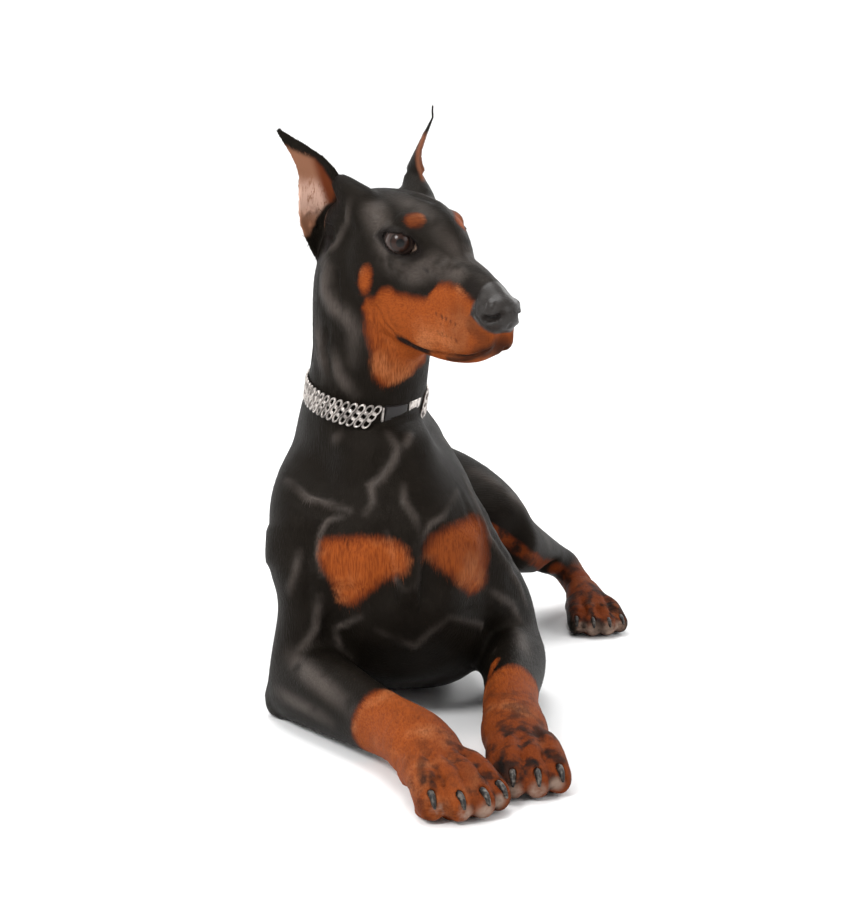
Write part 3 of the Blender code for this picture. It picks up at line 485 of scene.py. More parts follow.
# %% Wide forms of the body
BODY_FORMS = (
    # the keel of the breastbone and the hollow on each side of it
    (2.2, 0.45, ((1.3, -22.6, 24.5), (1.4, -23.4, 19.0), (1.2, -23.0, 14.0))),
    (2.0, -0.35, ((-1.6, -22.6, 24.0), (-1.0, -23.0, 18.0), (-1.4, -22.4, 14.0))),
    (2.0, -0.35, ((4.0, -22.2, 23.0), (3.8, -22.8, 18.0), (3.8, -22.0, 14.0))),
    # the breast muscles
    (3.4, 0.5, ((-7.0, -20.8, 22.0), (-4.6, -21.6, 19.0), (-4.4, -21.4, 16.0))),
    (3.4, 0.5, ((7.6, -18.6, 22.0), (6.6, -20.4, 19.0), (6.2, -20.6, 16.0))),
    # the point of each shoulder and the groove behind it
    (3.6, 0.5, ((-12.6, -15.6, 22.0), (-12.6, -16.6, 17.0))),
    (2.4, -0.4, ((-8.6, -19.8, 24.0), (-9.2, -20.2, 18.0), (-9.4, -20.4, 13.0))),
    (3.0, 0.4, ((10.4, -14.6, 21.0), (12.0, -13.0, 16.0))),
    (2.2, -0.4, ((9.0, -17.6, 22.0), (9.8, -17.2, 17.0), (10.8, -16.4, 12.5))),
    # the shoulder blades and the hollow behind the withers
    (4.0, 0.35, ((-9.4, -4.0, 28.5), (-6.0, 1.5, 32.0))),
    (4.0, 0.35, ((4.0, -4.0, 28.5), (0.6, 1.5, 32.0))),
    (3.4, -0.35, ((-12.4, 3.0, 24.0), (-13.0, 2.0, 14.0))),
    (3.4, -0.35, ((6.6, 3.0, 24.0), (8.8, 2.0, 14.0))),
    # the long muscle of each forearm
    (2.2, 0.3, ((-9.6, -20.6, 8.0), (-5.6, -25.6, 7.6), (-2.0, -31.0, 7.0))),
    (1.8, -0.25, ((-7.0, -26.0, 5.6), (-3.6, -31.4, 4.6))),
    (2.2, 0.3, ((12.8, -12.0, 9.0), (12.6, -18.0, 8.2), (12.2, -25.0, 7.2))),
    # the haunch and the tendon of the hock
    (3.2, 0.4, ((8.0, 19.0, 18.0), (11.5, 16.4, 14.6))),
    (1.5, -0.35, ((19.6, 33.4, 7.0), (21.0, 35.0, 6.2))),
)
sculpt(body_skin, BODY_FORMS)

# %% Folds of the body
RIDGES = (
    # reach, height, sheen (painted, with a little gloss) and path of ridges on the body
    # from the shoulders to the breastbone
    (0.7, 0.26, 0.9, ((-12.0, -15.0, 26.5), (-9.6, -18.1, 25.2), (-7.5, -19.4, 24.8),
                      (-5.0, -20.7, 24.3))),
    (0.9, 0.20, 0.5, ((-6.0, -17.2, 31.9), (-6.8, -16.6, 31.1))),
    (0.8, 0.26, 0.9, ((-0.9, -18.6, 32.4), (0.1, -19.1, 30.8), (-0.3, -19.6, 29.3),
                      (-1.7, -20.0, 27.5), (-2.7, -20.1, 26.9), (-2.5, -21.2, 25.4),
                      (-3.3, -21.5, 24.2))),
    (0.8, 0.20, 0.7, ((1.6, -17.6, 32.3), (0.8, -18.9, 30.8))),
    (0.7, 0.22, 0.8, ((0.8, -20.5, 27.0), (0.8, -21.7, 25.5), (1.9, -22.4, 24.0),
                      (2.4, -22.7, 22.0))),
    # round the right patch
    (0.6, 0.16, 0.8, ((-5.8, -20.8, 23.7), (-7.4, -20.5, 23.2), (-8.3, -20.6, 21.6),
                      (-8.5, -20.9, 19.5), (-7.8, -21.6, 17.5))),
    # the looped fold at the keel
    (0.55, 0.22, 0.9, ((-1.1, -22.7, 22.4), (-0.5, -22.9, 20.4), (-0.1, -23.3, 17.6),
                       (1.0, -23.5, 16.4), (1.9, -23.4, 16.8), (2.4, -23.1, 19.6),
                       (1.8, -23.0, 21.2))),
    # the left patch's inner edge
    (0.6, 0.20, 0.8, ((2.4, -22.8, 21.2), (3.6, -22.4, 23.2), (4.8, -21.5, 23.8),
                      (6.5, -17.5, 25.9))),
    # the rim of the left shoulder, down to the elbow
    (0.65, 0.28, 1.0, ((7.2, -13.5, 26.6), (8.1, -15.1, 24.7), (9.0, -16.7, 22.8),
                       (9.8, -16.3, 20.7), (10.7, -15.5, 18.7), (12.0, -14.4, 16.6),
                       (13.4, -12.6, 14.2), (14.3, -11.1, 11.6))),
    (0.8, 0.20, 0.6, ((9.9, -16.7, 14.7), (11.2, -15.4, 13.6), (12.5, -13.6, 12.3),
                      (14.3, -11.9, 9.2))),
    # folds of the right upper arm
    (0.8, 0.22, 0.5, ((-10.3, -20.6, 19.9), (-10.9, -21.6, 17.5), (-11.6, -20.6, 15.2))),
    (0.8, 0.24, 0.8, ((-8.3, -21.3, 15.0), (-8.7, -20.6, 11.4), (-9.9, -20.3, 9.5),
                      (-10.9, -20.3, 8.4))),
    # elbow and belly folds
    (0.6, 0.20, 0.8, ((-3.8, -21.8, 13.0), (-6.7, -19.4, 11.1), (-6.0, -19.1, 8.1))),
    (0.7, 0.16, 0.5, ((-2.1, -21.9, 11.6), (1.9, -21.2, 9.6), (3.5, -21.6, 11.3),
                      (5.7, -21.2, 12.8))),
    (0.6, 0.20, 0.8, ((5.7, -21.2, 12.8), (9.1, -15.5, 10.5), (10.5, -17.1, 7.9))),
    # the haunch's edge
    (1.6, 0.10, 0.6, ((9.4, 21.4, 20.6), (12.2, 18.8, 19.1), (14.6, 18.1, 17.4),
                      (18.7, 23.1, 11.0))),
)
HOLLOWS = (
    # reach, depth and path of grooves on the body
    (0.8, -0.22, ((-11.6, -16.2, 25.2), (-9.2, -19.0, 24.0), (-6.4, -20.4, 23.4))),
    (0.8, -0.20, ((-1.6, -19.4, 30.6), (-2.0, -20.0, 28.6), (-4.0, -20.6, 26.4))),
    (0.7, -0.20, ((-0.4, -20.6, 26.6), (-1.0, -21.8, 24.6), (0.4, -22.6, 22.6))),
    (0.5, -0.20, ((0.7, -23.0, 21.0), (0.9, -23.3, 18.6))),
    (0.7, -0.25, ((3.4, -22.8, 20.0), (3.0, -23.0, 17.0), (2.6, -22.6, 14.4))),
    (0.8, -0.26, ((6.2, -16.6, 26.0), (7.6, -18.4, 23.4), (8.6, -18.0, 20.0))),
    (0.8, -0.26, ((-9.4, -20.6, 21.6), (-9.2, -21.2, 17.6), (-9.6, -21.0, 13.4))),
    (0.8, -0.22, ((-7.6, -20.4, 13.4), (-7.4, -19.8, 9.4))),
    (0.8, -0.22, ((7.4, -19.6, 13.2), (10.0, -16.0, 12.2), (11.8, -15.0, 9.4))),
    (0.9, -0.24, ((8.8, 13.0, 15.0), (10.2, 13.6, 11.0), (9.4, 14.6, 7.6))),
)
sculpt(body_skin, [(reach, height, path) for reach, height, _, path in RIDGES])
sculpt(body_skin, HOLLOWS)

# %% Toes and tendons
PAW_FRAMES = (
    # root, tip, size and toe places of each paw
    ((3.6, -42.1), (7.4, -50.3), 1.1, (-2.7, -0.95, 0.95, 2.7)),
    ((12.4, -35.0), (12.8, -43.6), 1.08, (-2.2, -0.95, 0.95, 2.7)),
    ((23.6, 25.8), (24.8, 19.0), 0.86, (-2.7, -0.95, 0.95, 2.7)),
    ((5.2, 33.6), (9.6, 30.0), 0.84, (-2.7, -0.95, 0.95, 2.7)),
)
TOE_FORMS = (
    # reach, height and path of a toe's tendon, knuckle, dip and pad; each place of a path is
    # the way along the paw, the share of the toe's own place across it, and the way up
    (0.7, 0.16, ((0.4, 0.6, 4.6), (4.4, 0.95, 4.5))),
    (0.9, 0.24, ((5.0, 0.98, 4.1), (6.2, 1.0, 3.6))),
    (0.6, -0.16, ((7.4, 1.02, 3.2),)),
    (0.9, 0.18, ((8.2, 1.05, 1.6),)),
)
GAP_FORMS = (
    # the groove between two toes, in the same way
    (0.5, -0.36, ((2.6, 0.85, 4.4), (6.4, 1.0, 3.6), (8.2, 1.0, 1.4))),
)


def gaps_of(paw):
    """The places midway between a paw's toes."""
    return [(low + high) / 2 for low, high in zip(paw[3], paw[3][1:])]


def on_paw(paw, along, across, height):
    """A body place from a place on a paw: along it, across it and up."""
    root, tip, size, _ = paw
    ahead = (Vector((*tip, 0)) - Vector((*root, 0))).normalized()
    left = Vector((0, 0, 1)).cross(ahead)
    place = Vector((*root, 0)) + (ahead * along + left * across) * size
    return place.x, place.y, height * size


def on_toes(paw, forms, toes):
    """Forms of one toe or gap, set at each of some toe places, as body lines."""
    return [(reach, height, [on_paw(paw, along, across * spread, up)
                             for along, spread, up in path])
            for across in toes for reach, height, path in forms]


toe_lines = []
for paw in PAW_FRAMES:
    toe_lines += on_toes(paw, TOE_FORMS, paw[3])
    toe_lines += on_toes(paw, GAP_FORMS, gaps_of(paw))
sculpt(body_skin, toe_lines)
# nothing goes below the floor
places = places_of(body_skin)
places[:, 2] = np.maximum(places[:, 2], 0)
move_to(body_skin, places)
print("toe lines", len(toe_lines))

# %% [markdown]
# ## The face
#
# The face is what people look at first. Its bones and muscles come from the solids. The skin
# adds what is finer: lids with a rolled rim, the hollow before each eye, the line of the mouth
# with its lips, the pads that carry the whiskers, the nostrils and the folds behind the jaw.

# %% Forms of the face, given for the left side
FACE_FORMS = (
    # reach, height and path: the jaw's muscle, the cheekbone, the hollow before the eye,
    # the whiskers' pad, the edge of the nose's bridge, the brow and the temple
    (1.9, 0.2, ((-3.6, 4.4, -4.0), (-2.6, 4.6, -7.4))),
    (1.2, 0.18, ((-4.6, 4.4, -1.6), (-1.8, 4.6, -2.8), (0.8, 3.9, -3.2))),
    (1.3, -0.3, ((1.8, 3.2, -2.4), (4.6, 2.9, -3.0), (7.6, 2.5, -3.6))),
    (1.2, 0.24, ((6.6, 2.9, -6.4), (9.6, 2.6, -6.2), (11.4, 2.3, -5.8))),
    (1.0, 0.16, ((1.0, 1.5, 1.4), (5.0, 1.2, -0.4), (9.4, 1.2, -1.3))),
    (1.2, 0.2, ((-2.2, 3.8, 2.9), (-0.2, 3.2, 3.0), (1.4, 2.2, 2.6))),
    (1.4, -0.2, ((-4.8, 4.6, 1.8), (-6.6, 5.0, 0.6))),
)
# the mouth's line from its corner to the chin, and the nostril's slit
MOUTH = ((0.6, 3.1, -9.95), (2.4, 2.9, -10.3), (4.4, 2.6, -10.2), (6.0, 2.4, -10.0),
         (7.6, 2.2, -9.7), (9.2, 2.0, -9.2), (11.2, 1.7, -8.5), (12.5, 1.4, -7.8),
         (13.3, 0.8, -7.3), (13.6, 0.0, -7.1))
NOSTRIL = ((14.1, 1.2, -3.3), (13.7, 1.6, -3.9), (13.1, 2.0, -4.1), (12.5, 2.2, -4.1))
FACE_FOLDS = (
    # reach, height and path: the line of the mouth with a lip on each side
    (0.34, -0.32, MOUTH),
    (0.6, 0.16, ((1.4, 3.1, -9.7), (5.2, 2.8, -9.6), (8.6, 2.4, -8.9), (11.6, 2.0, -7.9))),
    (0.5, 0.12, ((1.6, 2.5, -11.3), (5.4, 2.1, -11.0), (8.8, 1.7, -10.2), (11.8, 1.3, -9.2))),
    # creases behind and above the corner of the mouth
    (0.5, -0.22, ((-2.2, 5.0, -7.0), (-1.2, 4.5, -8.6), (0.3, 3.4, -10.1))),
    (0.5, 0.18, ((-2.9, 5.0, -8.2), (-1.8, 4.6, -9.6), (-0.4, 3.6, -10.8))),
    # the pads that carry the whiskers
    (0.5, -0.1, ((5.6, 3.1, -5.2), (6.6, 3.0, -7.4), (8.2, 2.8, -8.6))),
    # the groove round the nose leather, the nostril and the wings above and below it
    (0.4, -0.18, ((10.6, 0.0, -1.6), (10.6, 1.2, -1.9), (10.7, 2.1, -2.8), (11.3, 2.4, -4.2),
                  (12.3, 2.2, -4.9), (13.0, 1.4, -5.7))),
    (0.7, 0.16, ((12.3, 1.9, -2.7), (13.2, 1.5, -2.6))),
    (0.45, 0.14, ((13.4, 1.6, -4.6), (12.7, 1.9, -4.7))),
    (0.5, -0.8, NOSTRIL),
)
MID_FOLDS = (
    # the groove below the nose, and the furrow from the brow over the skull
    (0.35, -0.25, ((14.3, 0.0, -4.4), (14.1, 0.0, -5.6), (13.8, 0.0, -7.0))),
    (1.0, -0.25, ((2.0, 0.0, 1.4), (-1.0, 0.0, 3.9), (-5.0, 0.0, 4.4), (-9.0, 0.0, 3.4))),
)
NECK_RIDGES = (
    # reach, height, sheen (painted, with a little gloss) and path of the folds of the neck
    (1.7, 0.22, 0.75, ((-7.8, -14.4, 50.9), (-7.4, -15.7, 49.4), (-7.6, -15.8, 47.3),
                      (-6.8, -16.9, 45.8), (-5.5, -17.7, 44.8), (-4.4, -18.1, 43.3),
                      (-4.7, -17.8, 40.1))),
    (1.7, 0.16, 0.6, ((-8.5, -14.4, 43.4), (-8.3, -14.7, 40.7), (-7.6, -15.6, 38.4))),
    (1.3, 0.2, 0.7, ((-6.6, -16.8, 40.6), (-6.1, -17.0, 38.5), (-4.6, -17.7, 36.4))),
    (1.4, 0.12, 0.4, ((-2.8, -18.3, 45.0), (-2.6, -18.2, 41.0))),
    (0.9, 0.16, 0.3, ((0.6, -17.0, 40.4), (1.4, -15.6, 38.0))),
)
NECK_HOLLOWS = (
    # reach, depth and path of the hollows beside them
    (0.7, -0.26, ((-6.4, -16.8, 49.6), (-6.3, -17.1, 47.4), (-6.0, -17.4, 44.5))),
    (0.8, -0.2, ((-7.1, -16.5, 43.8), (-7.6, -15.6, 41.0), (-6.9, -16.4, 38.0))),
    (1.0, -0.2, ((-9.2, -12.6, 46.0), (-9.4, -12.2, 41.0), (-9.3, -12.1, 38.4))),
    (0.8, -0.2, ((-5.4, -17.5, 41.6), (-4.6, -17.8, 38.6))),
    (1.2, -0.2, ((3.0, -9.0, 47.0), (2.9, -9.4, 42.0), (3.0, -9.6, 38.0))),
)


def on_both(lines):
    """Lines of the head's left side, made body lines on both sides."""
    return [(reach, height, path) for reach, height, half in lines for path in both_sides(half)]


def on_middle(lines):
    """Lines that are given on the head as they are, made body lines."""
    return [(reach, height, [on_head(*p) for p in path]) for reach, height, path in lines]


def without_sheen(ridges):
    """Ridges as the sculptor takes them."""
    return [(reach, height, path) for reach, height, _, path in ridges]


sculpt(head_skin, on_both(FACE_FORMS))
sculpt(head_skin, on_both(FACE_FOLDS) + on_middle(MID_FOLDS))
sculpt(head_skin, without_sheen(NECK_RIDGES) + list(NECK_HOLLOWS))

# %% The lids, opened round each eyeball
EYE_RADIUS = 1.6
EYE_SPREAD = 3.48
EYE_BACK = 1.07
EYE_HALF_WIDTH = 1.95
EYE_HALF_HEIGHT = 1.06
EYE_SLANT = math.radians(12)
EYE_TURN = math.radians(36)
LID_THICK = 0.13
LID_REACH = 1.9
LID_DEEPEST = 0.3
POCKET_DEPTH = 0.75
SUNK_RADIUS = 0.88 * EYE_RADIUS
RIM_SNAP = 0.04


def eye_centre(side):
    """The middle of an eyeball, as a body place in cm."""
    return Vector(on_head(-EYE_BACK, side * EYE_SPREAD, 0.1))


def eye_axis(side):
    """The way that an eye looks."""
    return (FORWARD * math.cos(EYE_TURN) + LEFT * side * math.sin(EYE_TURN)).normalized()


def eye_frame(side):
    """Ways along the opening (outwards), across it (up) and along the gaze."""
    axis = eye_axis(side)
    outward = (LEFT * side - axis * axis.dot(LEFT * side)).normalized()
    rise = (UP - axis * axis.dot(UP)).normalized()
    wide = outward * math.cos(EYE_SLANT) + rise * math.sin(EYE_SLANT)
    high = rise * math.cos(EYE_SLANT) - outward * math.sin(EYE_SLANT)
    return np.array([wide, high, axis])


turns = np.linspace(-math.pi, math.pi, 361)
almond_x = np.cos(turns) * EYE_HALF_WIDTH
almond_y = np.sin(turns) * np.abs(np.sin(turns)) ** 0.3 * EYE_HALF_HEIGHT
almond_angle = np.arctan2(almond_y, almond_x)
almond_reach = np.hypot(almond_x, almond_y)


def in_eye(places, side):
    """Places in the eye's frame in cm, and how many almonds wide each lies off the axis."""
    local = (places / CM - np.array(eye_centre(side))) @ eye_frame(side).T
    angle = np.arctan2(local[:, 1], local[:, 0])
    edge = np.interp(angle, almond_angle, almond_reach)
    flare = np.hypot(local[:, 0], local[:, 1]) / edge
    flare = np.where((local[:, 2] < -1.3) | (flare > 4), 4, flare)
    return local, flare


def open_lids(places, side):
    """Sinks the skin behind the eyeball inside the opening, and lays a lid over it outside."""
    local, flare = in_eye(places, side)
    # what lies near the rim is drawn onto it, so that the lid has an even edge
    snap = np.where(np.abs(flare - 1) < RIM_SNAP, 1 / np.maximum(flare, 0.1), 1)
    local[:, :2] *= snap[:, None]
    off = np.hypot(local[:, 0], local[:, 1])
    face = local[:, 2].copy()
    # inside is a smaller ball, and a shallow pocket in the corners, where that ball ends
    sunk = np.sqrt(np.clip(SUNK_RADIUS ** 2 - off ** 2, 0, None))
    corner = ramp(off, 1.42, 1.62)
    sunk = sunk * (1 - corner) + np.maximum(sunk, face - POCKET_DEPTH) * corner
    # outside is a lid's thickness over the eyeball, which runs out into the face
    lid = np.sqrt(np.clip((EYE_RADIUS + LID_THICK) ** 2 - off ** 2, 0, None))
    lid = np.maximum(lid, face - LID_DEEPEST)
    outer = lid + (face - lid) * ramp(flare, 1.15, 1.8)
    depth = np.where(flare < 0.985, np.minimum(sunk, face), outer)
    local[:, 2] = np.where(flare < LID_REACH, depth, face)
    moved = (local @ eye_frame(side) + np.array(eye_centre(side))) * CM
    return np.where((flare < LID_REACH)[:, None], moved, places)


places = places_of(head_skin)
for side in (-1, 1):
    places = open_lids(places, side)
    print("eye", side, "centre", [round(v, 1) for v in eye_centre(side)])
move_to(head_skin, places)

# %% The left ear's bent outline
# heights of the blade, and where its two edges lie across at each of them
EAR_RISE = (57.6, 59.1, 60.0, 60.8, 61.5, 63.2, 65.1, 66.3)
EAR_LEFT_EDGE = (0.10, 0.55, 1.05, 1.45, 1.80, 2.65, 3.70, 3.70)
EAR_RIGHT_EDGE = (3.50, 3.10, 2.75, 2.65, 2.67, 3.25, 3.95, 3.92)
EAR_FOOT = 57.6
EAR_SLICE = 0.3
EAR_SLICES = 33
EAR_CREASE = ((0.6, -9.2, 58.6), (2.8, -8.8, 58.9))
CREASE_ROUNDS = 45


def bend_ear(places):
    """Slides each slice of the left ear across until it spans its two edges."""
    x, _, z = places.T / CM
    f, l, _ = to_head(places).T
    ear = np.nonzero((l > 1.6) & (z > EAR_FOOT) & (f < -6.5))[0]
    slices = np.clip(((z[ear] - EAR_FOOT) / EAR_SLICE).astype(int), 0, EAR_SLICES - 1)
    filled = [k for k in range(EAR_SLICES) if (slices == k).any()]
    low = [x[ear][slices == k].min() for k in filled]
    high = [x[ear][slices == k].max() for k in filled]
    rise = EAR_FOOT + EAR_SLICE / 2 + EAR_SLICE * np.array(filled)
    left = np.interp(z[ear], rise, low)
    right = np.interp(z[ear], rise, high)
    share = np.clip((x[ear] - left) / np.maximum(right - left, 0.05), -0.05, 1.05)
    want_left = np.interp(z[ear], EAR_RISE, EAR_LEFT_EDGE)
    want_right = np.interp(z[ear], EAR_RISE, EAR_RIGHT_EDGE)
    wanted = want_left + share * (want_right - want_left)
    moved = places.copy()
    moved[ear, 0] += (wanted - x[ear]) * ramp(z[ear], 57.7, 59.8) * CM
    print("ear slices", len(filled), "width at the foot", round(high[0] - low[0], 1), "cm")
    return moved


move_to(head_skin, bend_ear(places_of(head_skin)))
# the bend leaves a crease at the ear's foot, which is rubbed away
gap, _ = near(places_of(head_skin), EAR_CREASE)
soften(head_skin, CREASE_ROUNDS, 1 - ramp(gap, 1.6, 2.8))

# %% The ears' hollows and ridges
EAR_FORMS = (
    # reach, height and path: the mouth of each ear, deep, and dark with painted shade, with a
    # ridge of skin before it
    (1.5, -0.5, ((-10.4, -6.4, -0.4), (-10.2, -6.4, -2.2))),
    (0.6, 0.26, ((-8.0, -5.4, 2.6), (-7.7, -5.9, 0.4), (-8.4, -6.4, -2.2), (-9.6, -6.6, -3.8))),
    (1.5, -0.5, ((-10.4, 6.4, -0.4), (-10.2, 6.4, -2.2))),
    (0.6, 0.26, ((-8.0, 5.4, 2.6), (-7.7, 5.9, 0.4), (-8.4, 6.4, -2.2), (-9.6, 6.6, -3.8))),
    # small folds low in the cup
    (0.45, 0.22, ((-13.6, -5.4, -0.2), (-13.7, -6.4, 0.1), (-13.7, -7.2, -0.5))),
    (0.45, 0.2, ((-13.4, -5.4, -1.6), (-13.6, -6.4, -1.5))),
)
sculpt(head_skin, on_middle(EAR_FORMS))

# %% [markdown]
# ## The coat's markings
#
# A doberman is black with rust over the eyes, on the cheeks, muzzle and throat, in two patches
# on the chest, on the lower legs and under the tail. A picture could be wrapped round the skin,
# but a wrap has seams. Instead each marking is again a path with a reach. At every vertex the
# script works out how far inside a marking it lies and keeps that number as an attribute. The
# material turns the number into a border, broken up by noise as hair breaks up a real one.

# %% Places of the rust markings
SPOTS = (
    # middle and half sizes of the spot over each eye and on each cheek
    ((0.2, 2.9, 2.7), (1.15, 1.05, 0.95)),
    ((-3.1, 5.8, -4.6), (0.85, 1.5, 1.65)),
)
# a further stretch of the spot over the left eye, towards the nose
LEFT_BROW = ((2.5, 1.5, 2.8), (1.4, 2.3, 2.8), (0.4, 2.9, 2.8))
PATCHES = (
    # outlines of the chest's two patches, seen from ahead (across and up)
    ((-8.2, 21.1), (-7.6, 21.5), (-6.0, 21.8), (-3.6, 22.1), (-1.4, 21.9), (0.2, 21.6),
     (1.3, 20.8), (1.6, 19.6), (1.1, 18.3), (-0.4, 17.5), (-1.4, 16.9), (-2.8, 15.8),
     (-3.9, 14.7), (-5.3, 14.0), (-6.3, 14.3), (-6.8, 15.8), (-7.8, 17.8), (-8.4, 19.3)),
    ((2.8, 20.5), (3.5, 21.9), (4.9, 22.8), (6.7, 23.1), (8.1, 23.3), (9.3, 22.5), (9.8, 20.9),
     (9.9, 17.8), (9.7, 15.6), (9.0, 14.7), (7.8, 14.7), (6.7, 16.1), (5.7, 17.4), (3.8, 18.6),
     (2.7, 19.8)),
)
BODY_RUST = (
    # reach and path: the inner side of each foreleg
    (0.8, ((10.4, -22.0, 6.4), (10.6, -20.0, 7.4))),
    (1.3, ((-2.4, -28.6, 4.0), (-5.6, -23.4, 3.6))),
    # the left thigh's lower edge, the shank, the hock and the foot
    (0.6, ((10.8, 14.8, 15.2), (12.2, 15.9, 13.8))),
    (0.95, ((12.2, 15.9, 13.6), (14.6, 16.3, 11.7), (17.0, 18.2, 9.8), (18.2, 22.0, 8.0))),
    (1.35, ((18.2, 22.0, 8.0), (20.3, 28.6, 5.8), (21.4, 29.8, 4.8), (22.4, 26.0, 4.4))),
    (3.2, ((22.6, 34.0, 3.4), (23.4, 27.0, 3.2), (24.8, 20.0, 2.4))),
    (3.4, ((-0.6, 38.0, 2.6), (4.4, 34.4, 2.6), (9.4, 30.2, 2.0))),
    # inside of the thighs and under the tail
    (3.2, ((4.0, 22.0, 6.0), (10.0, 19.0, 7.0))),
    (2.2, ((-6.2, 45.4, 16.4), (-6.0, 45.0, 13.0))),
)
# where each foreleg starts and which way it runs on the floor, and how far along it turns rust
LEG_RIGHT = ((-12.0, -14.4), (0.503, -0.864), 19.2)
LEG_LEFT = ((12.9, -4.8), (-0.02, -1.0), 17.6)
# the muzzle's upper border from back to front, and the throat's border behind and below
MUZZLE_F = (-4.6, -3.5, -2.8, -2.0, -1.5, -0.9, 0.0, 2.6, 4.3, 5.2, 6.7, 8.1, 9.5, 10.8, 14.5)
MUZZLE_U = (-10.5, -7.7, -6.4, -6.2, -5.0, -4.7, -5.1, -4.7, -4.4, -2.6, -2.0, -2.1, -2.5, -2.9,
            -3.5)
THROAT_U = (-16.0, -15.1, -13.8, -12.1, -10.8, -9.0, -7.7)
THROAT_F = (-0.9, -1.5, -1.9, -2.1, -2.6, -3.0, -3.6)
THROAT_L = (-4.3, -3.3, -2.1, -0.3, 1.1, 3.1)
THROAT_END = (-15.2, -16.0, -15.8, -15.1, -14.2, -14.0)
print("rust paths", len(BODY_RUST), "outlines", len(PATCHES), "spots", len(SPOTS))


# %% How far inside the rust a place is
def inside(places, reach, path):
    """How far inside a marking each place is: 1 on its path, 0 on its border."""
    gap, _ = near(places, path)
    return 1 - gap / reach


def inside_outline(across, up, outline):
    """Depth in cm inside an outline, negative outside it."""
    corners = np.array(outline)
    gap = np.full(len(across), np.inf)
    within = np.zeros(len(across), dtype=bool)
    for (x0, z0), (x1, z1) in zip(corners, np.roll(corners, -1, axis=0)):
        t = np.clip(((across - x0) * (x1 - x0) + (up - z0) * (z1 - z0))
                    / ((x1 - x0) ** 2 + (z1 - z0) ** 2), 0, 1)
        gap = np.minimum(gap, np.hypot(across - x0 - t * (x1 - x0), up - z0 - t * (z1 - z0)))
        passes = (z0 > up) != (z1 > up)
        reached = x0 + (up - z0) * (x1 - x0) / (z1 - z0 if z1 != z0 else 1)
        within ^= passes & (across < reached)
    return np.where(within, gap, -gap)


def face_rust(places):
    """The rust field of places on the head and neck."""
    f, l, u = to_head(places).T
    field = inside(places, 1.0, [on_head(*place) for place in LEFT_BROW])
    for middle, half in SPOTS:
        off = np.stack([f, np.abs(l), u], axis=1) - np.array(middle)
        field = np.maximum(field, 1 - np.linalg.norm(off / np.array(half), axis=1))
    border = np.interp(f, MUZZLE_F, MUZZLE_U)
    back = np.interp(u, THROAT_U, THROAT_F)
    muzzle = np.minimum((border - u) / 1.5, (f - back) / 1.3)
    low = (u - np.interp(l, THROAT_L, THROAT_END)) / 1.6
    return np.maximum(field, np.minimum(muzzle, low))


def body_rust(places):
    """The rust field of places on the trunk and the legs."""
    x, y, z = places.T / CM
    field = np.full(len(places), -1.0)
    for outline in PATCHES:
        depth = inside_outline(x, z, outline) / 2.0
        field = np.maximum(field, np.minimum(depth, (-14.6 - y) / 1.0))
    for reach, path in BODY_RUST:
        field = np.maximum(field, inside(places, reach, path))
    for (start_x, start_y), (way_x, way_y), start in (LEG_RIGHT, LEG_LEFT):
        along = (x - start_x) * way_x + (y - start_y) * way_y
        aside = np.abs((x - start_x) * way_y - (y - start_y) * way_x)
        leg = np.minimum((along - start - 0.1 * (z - 4.5)) / 2.2, (6.5 - aside) / 2)
        field = np.maximum(field, leg)
    return field


def rust_of(places, on_face):
    """The rust field of some places: positive inside a marking, from -1 to 1."""
    return np.clip(face_rust(places) if on_face else body_rust(places), -1, 1)


# %% Places of the dark marks
PAW_MARKS = (
    # reach and path of dark marks between the toes and on the knuckles
    (0.55, ((2.8, -46.1, 5.0), (2.6, -47.8, 4.8), (2.8, -49.6, 4.0))),
    (0.50, ((3.6, -48.6, 4.4), (3.9, -50.6, 3.4))),
    (0.75, ((6.6, -46.4, 5.1), (7.3, -48.0, 4.6), (8.0, -49.2, 3.8))),
    (0.55, ((8.2, -50.5, 2.9), (7.6, -51.0, 2.0))),
    (0.70, ((9.6, -45.4, 4.0), (10.6, -46.8, 3.0))),
    (0.80, ((11.9, -39.7, 4.9), (12.4, -42.0, 4.1), (12.8, -43.6, 2.8))),
    (0.65, ((13.4, -40.8, 4.8), (13.9, -43.4, 3.5))),
    (0.50, ((14.7, -39.2, 4.6), (15.2, -41.4, 3.7))),
    (0.70, ((10.4, -40.6, 4.0), (10.7, -43.6, 2.8))),
    (0.60, ((21.9, 20.3, 3.1), (22.7, 19.4, 2.4), (22.8, 18.5, 1.3))),
    (0.60, ((23.6, 21.0, 3.6), (23.8, 19.2, 2.6))),
    (0.60, ((24.8, 20.6, 3.6), (24.6, 18.4, 1.2))),
    (0.60, ((26.2, 22.0, 3.4), (26.2, 18.8, 1.3))),
    (0.50, ((27.4, 21.4, 3.0), (27.6, 20.0, 2.4))),
)
SHADES = (
    # reach, strength and path of darker stretches of rust
    (4.5, 0.3, ((4.5, -21.0, 20.5), (8.5, -18.0, 19.0))),
    # painted shade on the left thigh's lower edge, where it turns under
    (2.2, 0.75, ((10.8, 14.8, 15.2), (13.0, 16.2, 13.2), (14.4, 17.0, 12.0))),
    (5.0, 0.55, ((12.6, -37.0, 5.0), (12.8, -43.6, 3.0))),
    (5.0, 0.62, ((23.3, 25.0, 3.0), (24.9, 19.0, 2.0))),
)
TOE_MARKS = (
    # reach, strength and path of the dark spot before each claw, as in TOE_FORMS
    (0.5, 0.8, ((8.6, 1.04, 2.7),)),
)
GAP_MARKS = (
    # and of the dark line between two toes
    (0.6, 0.9, ((4.6, 0.9, 4.2), (7.4, 1.0, 2.6), (8.4, 1.0, 1.0))),
)
PAW_MARK_SPREAD = 1.35
WHISKER_ROWS = 3
WHISKERS_IN_ROW = 5
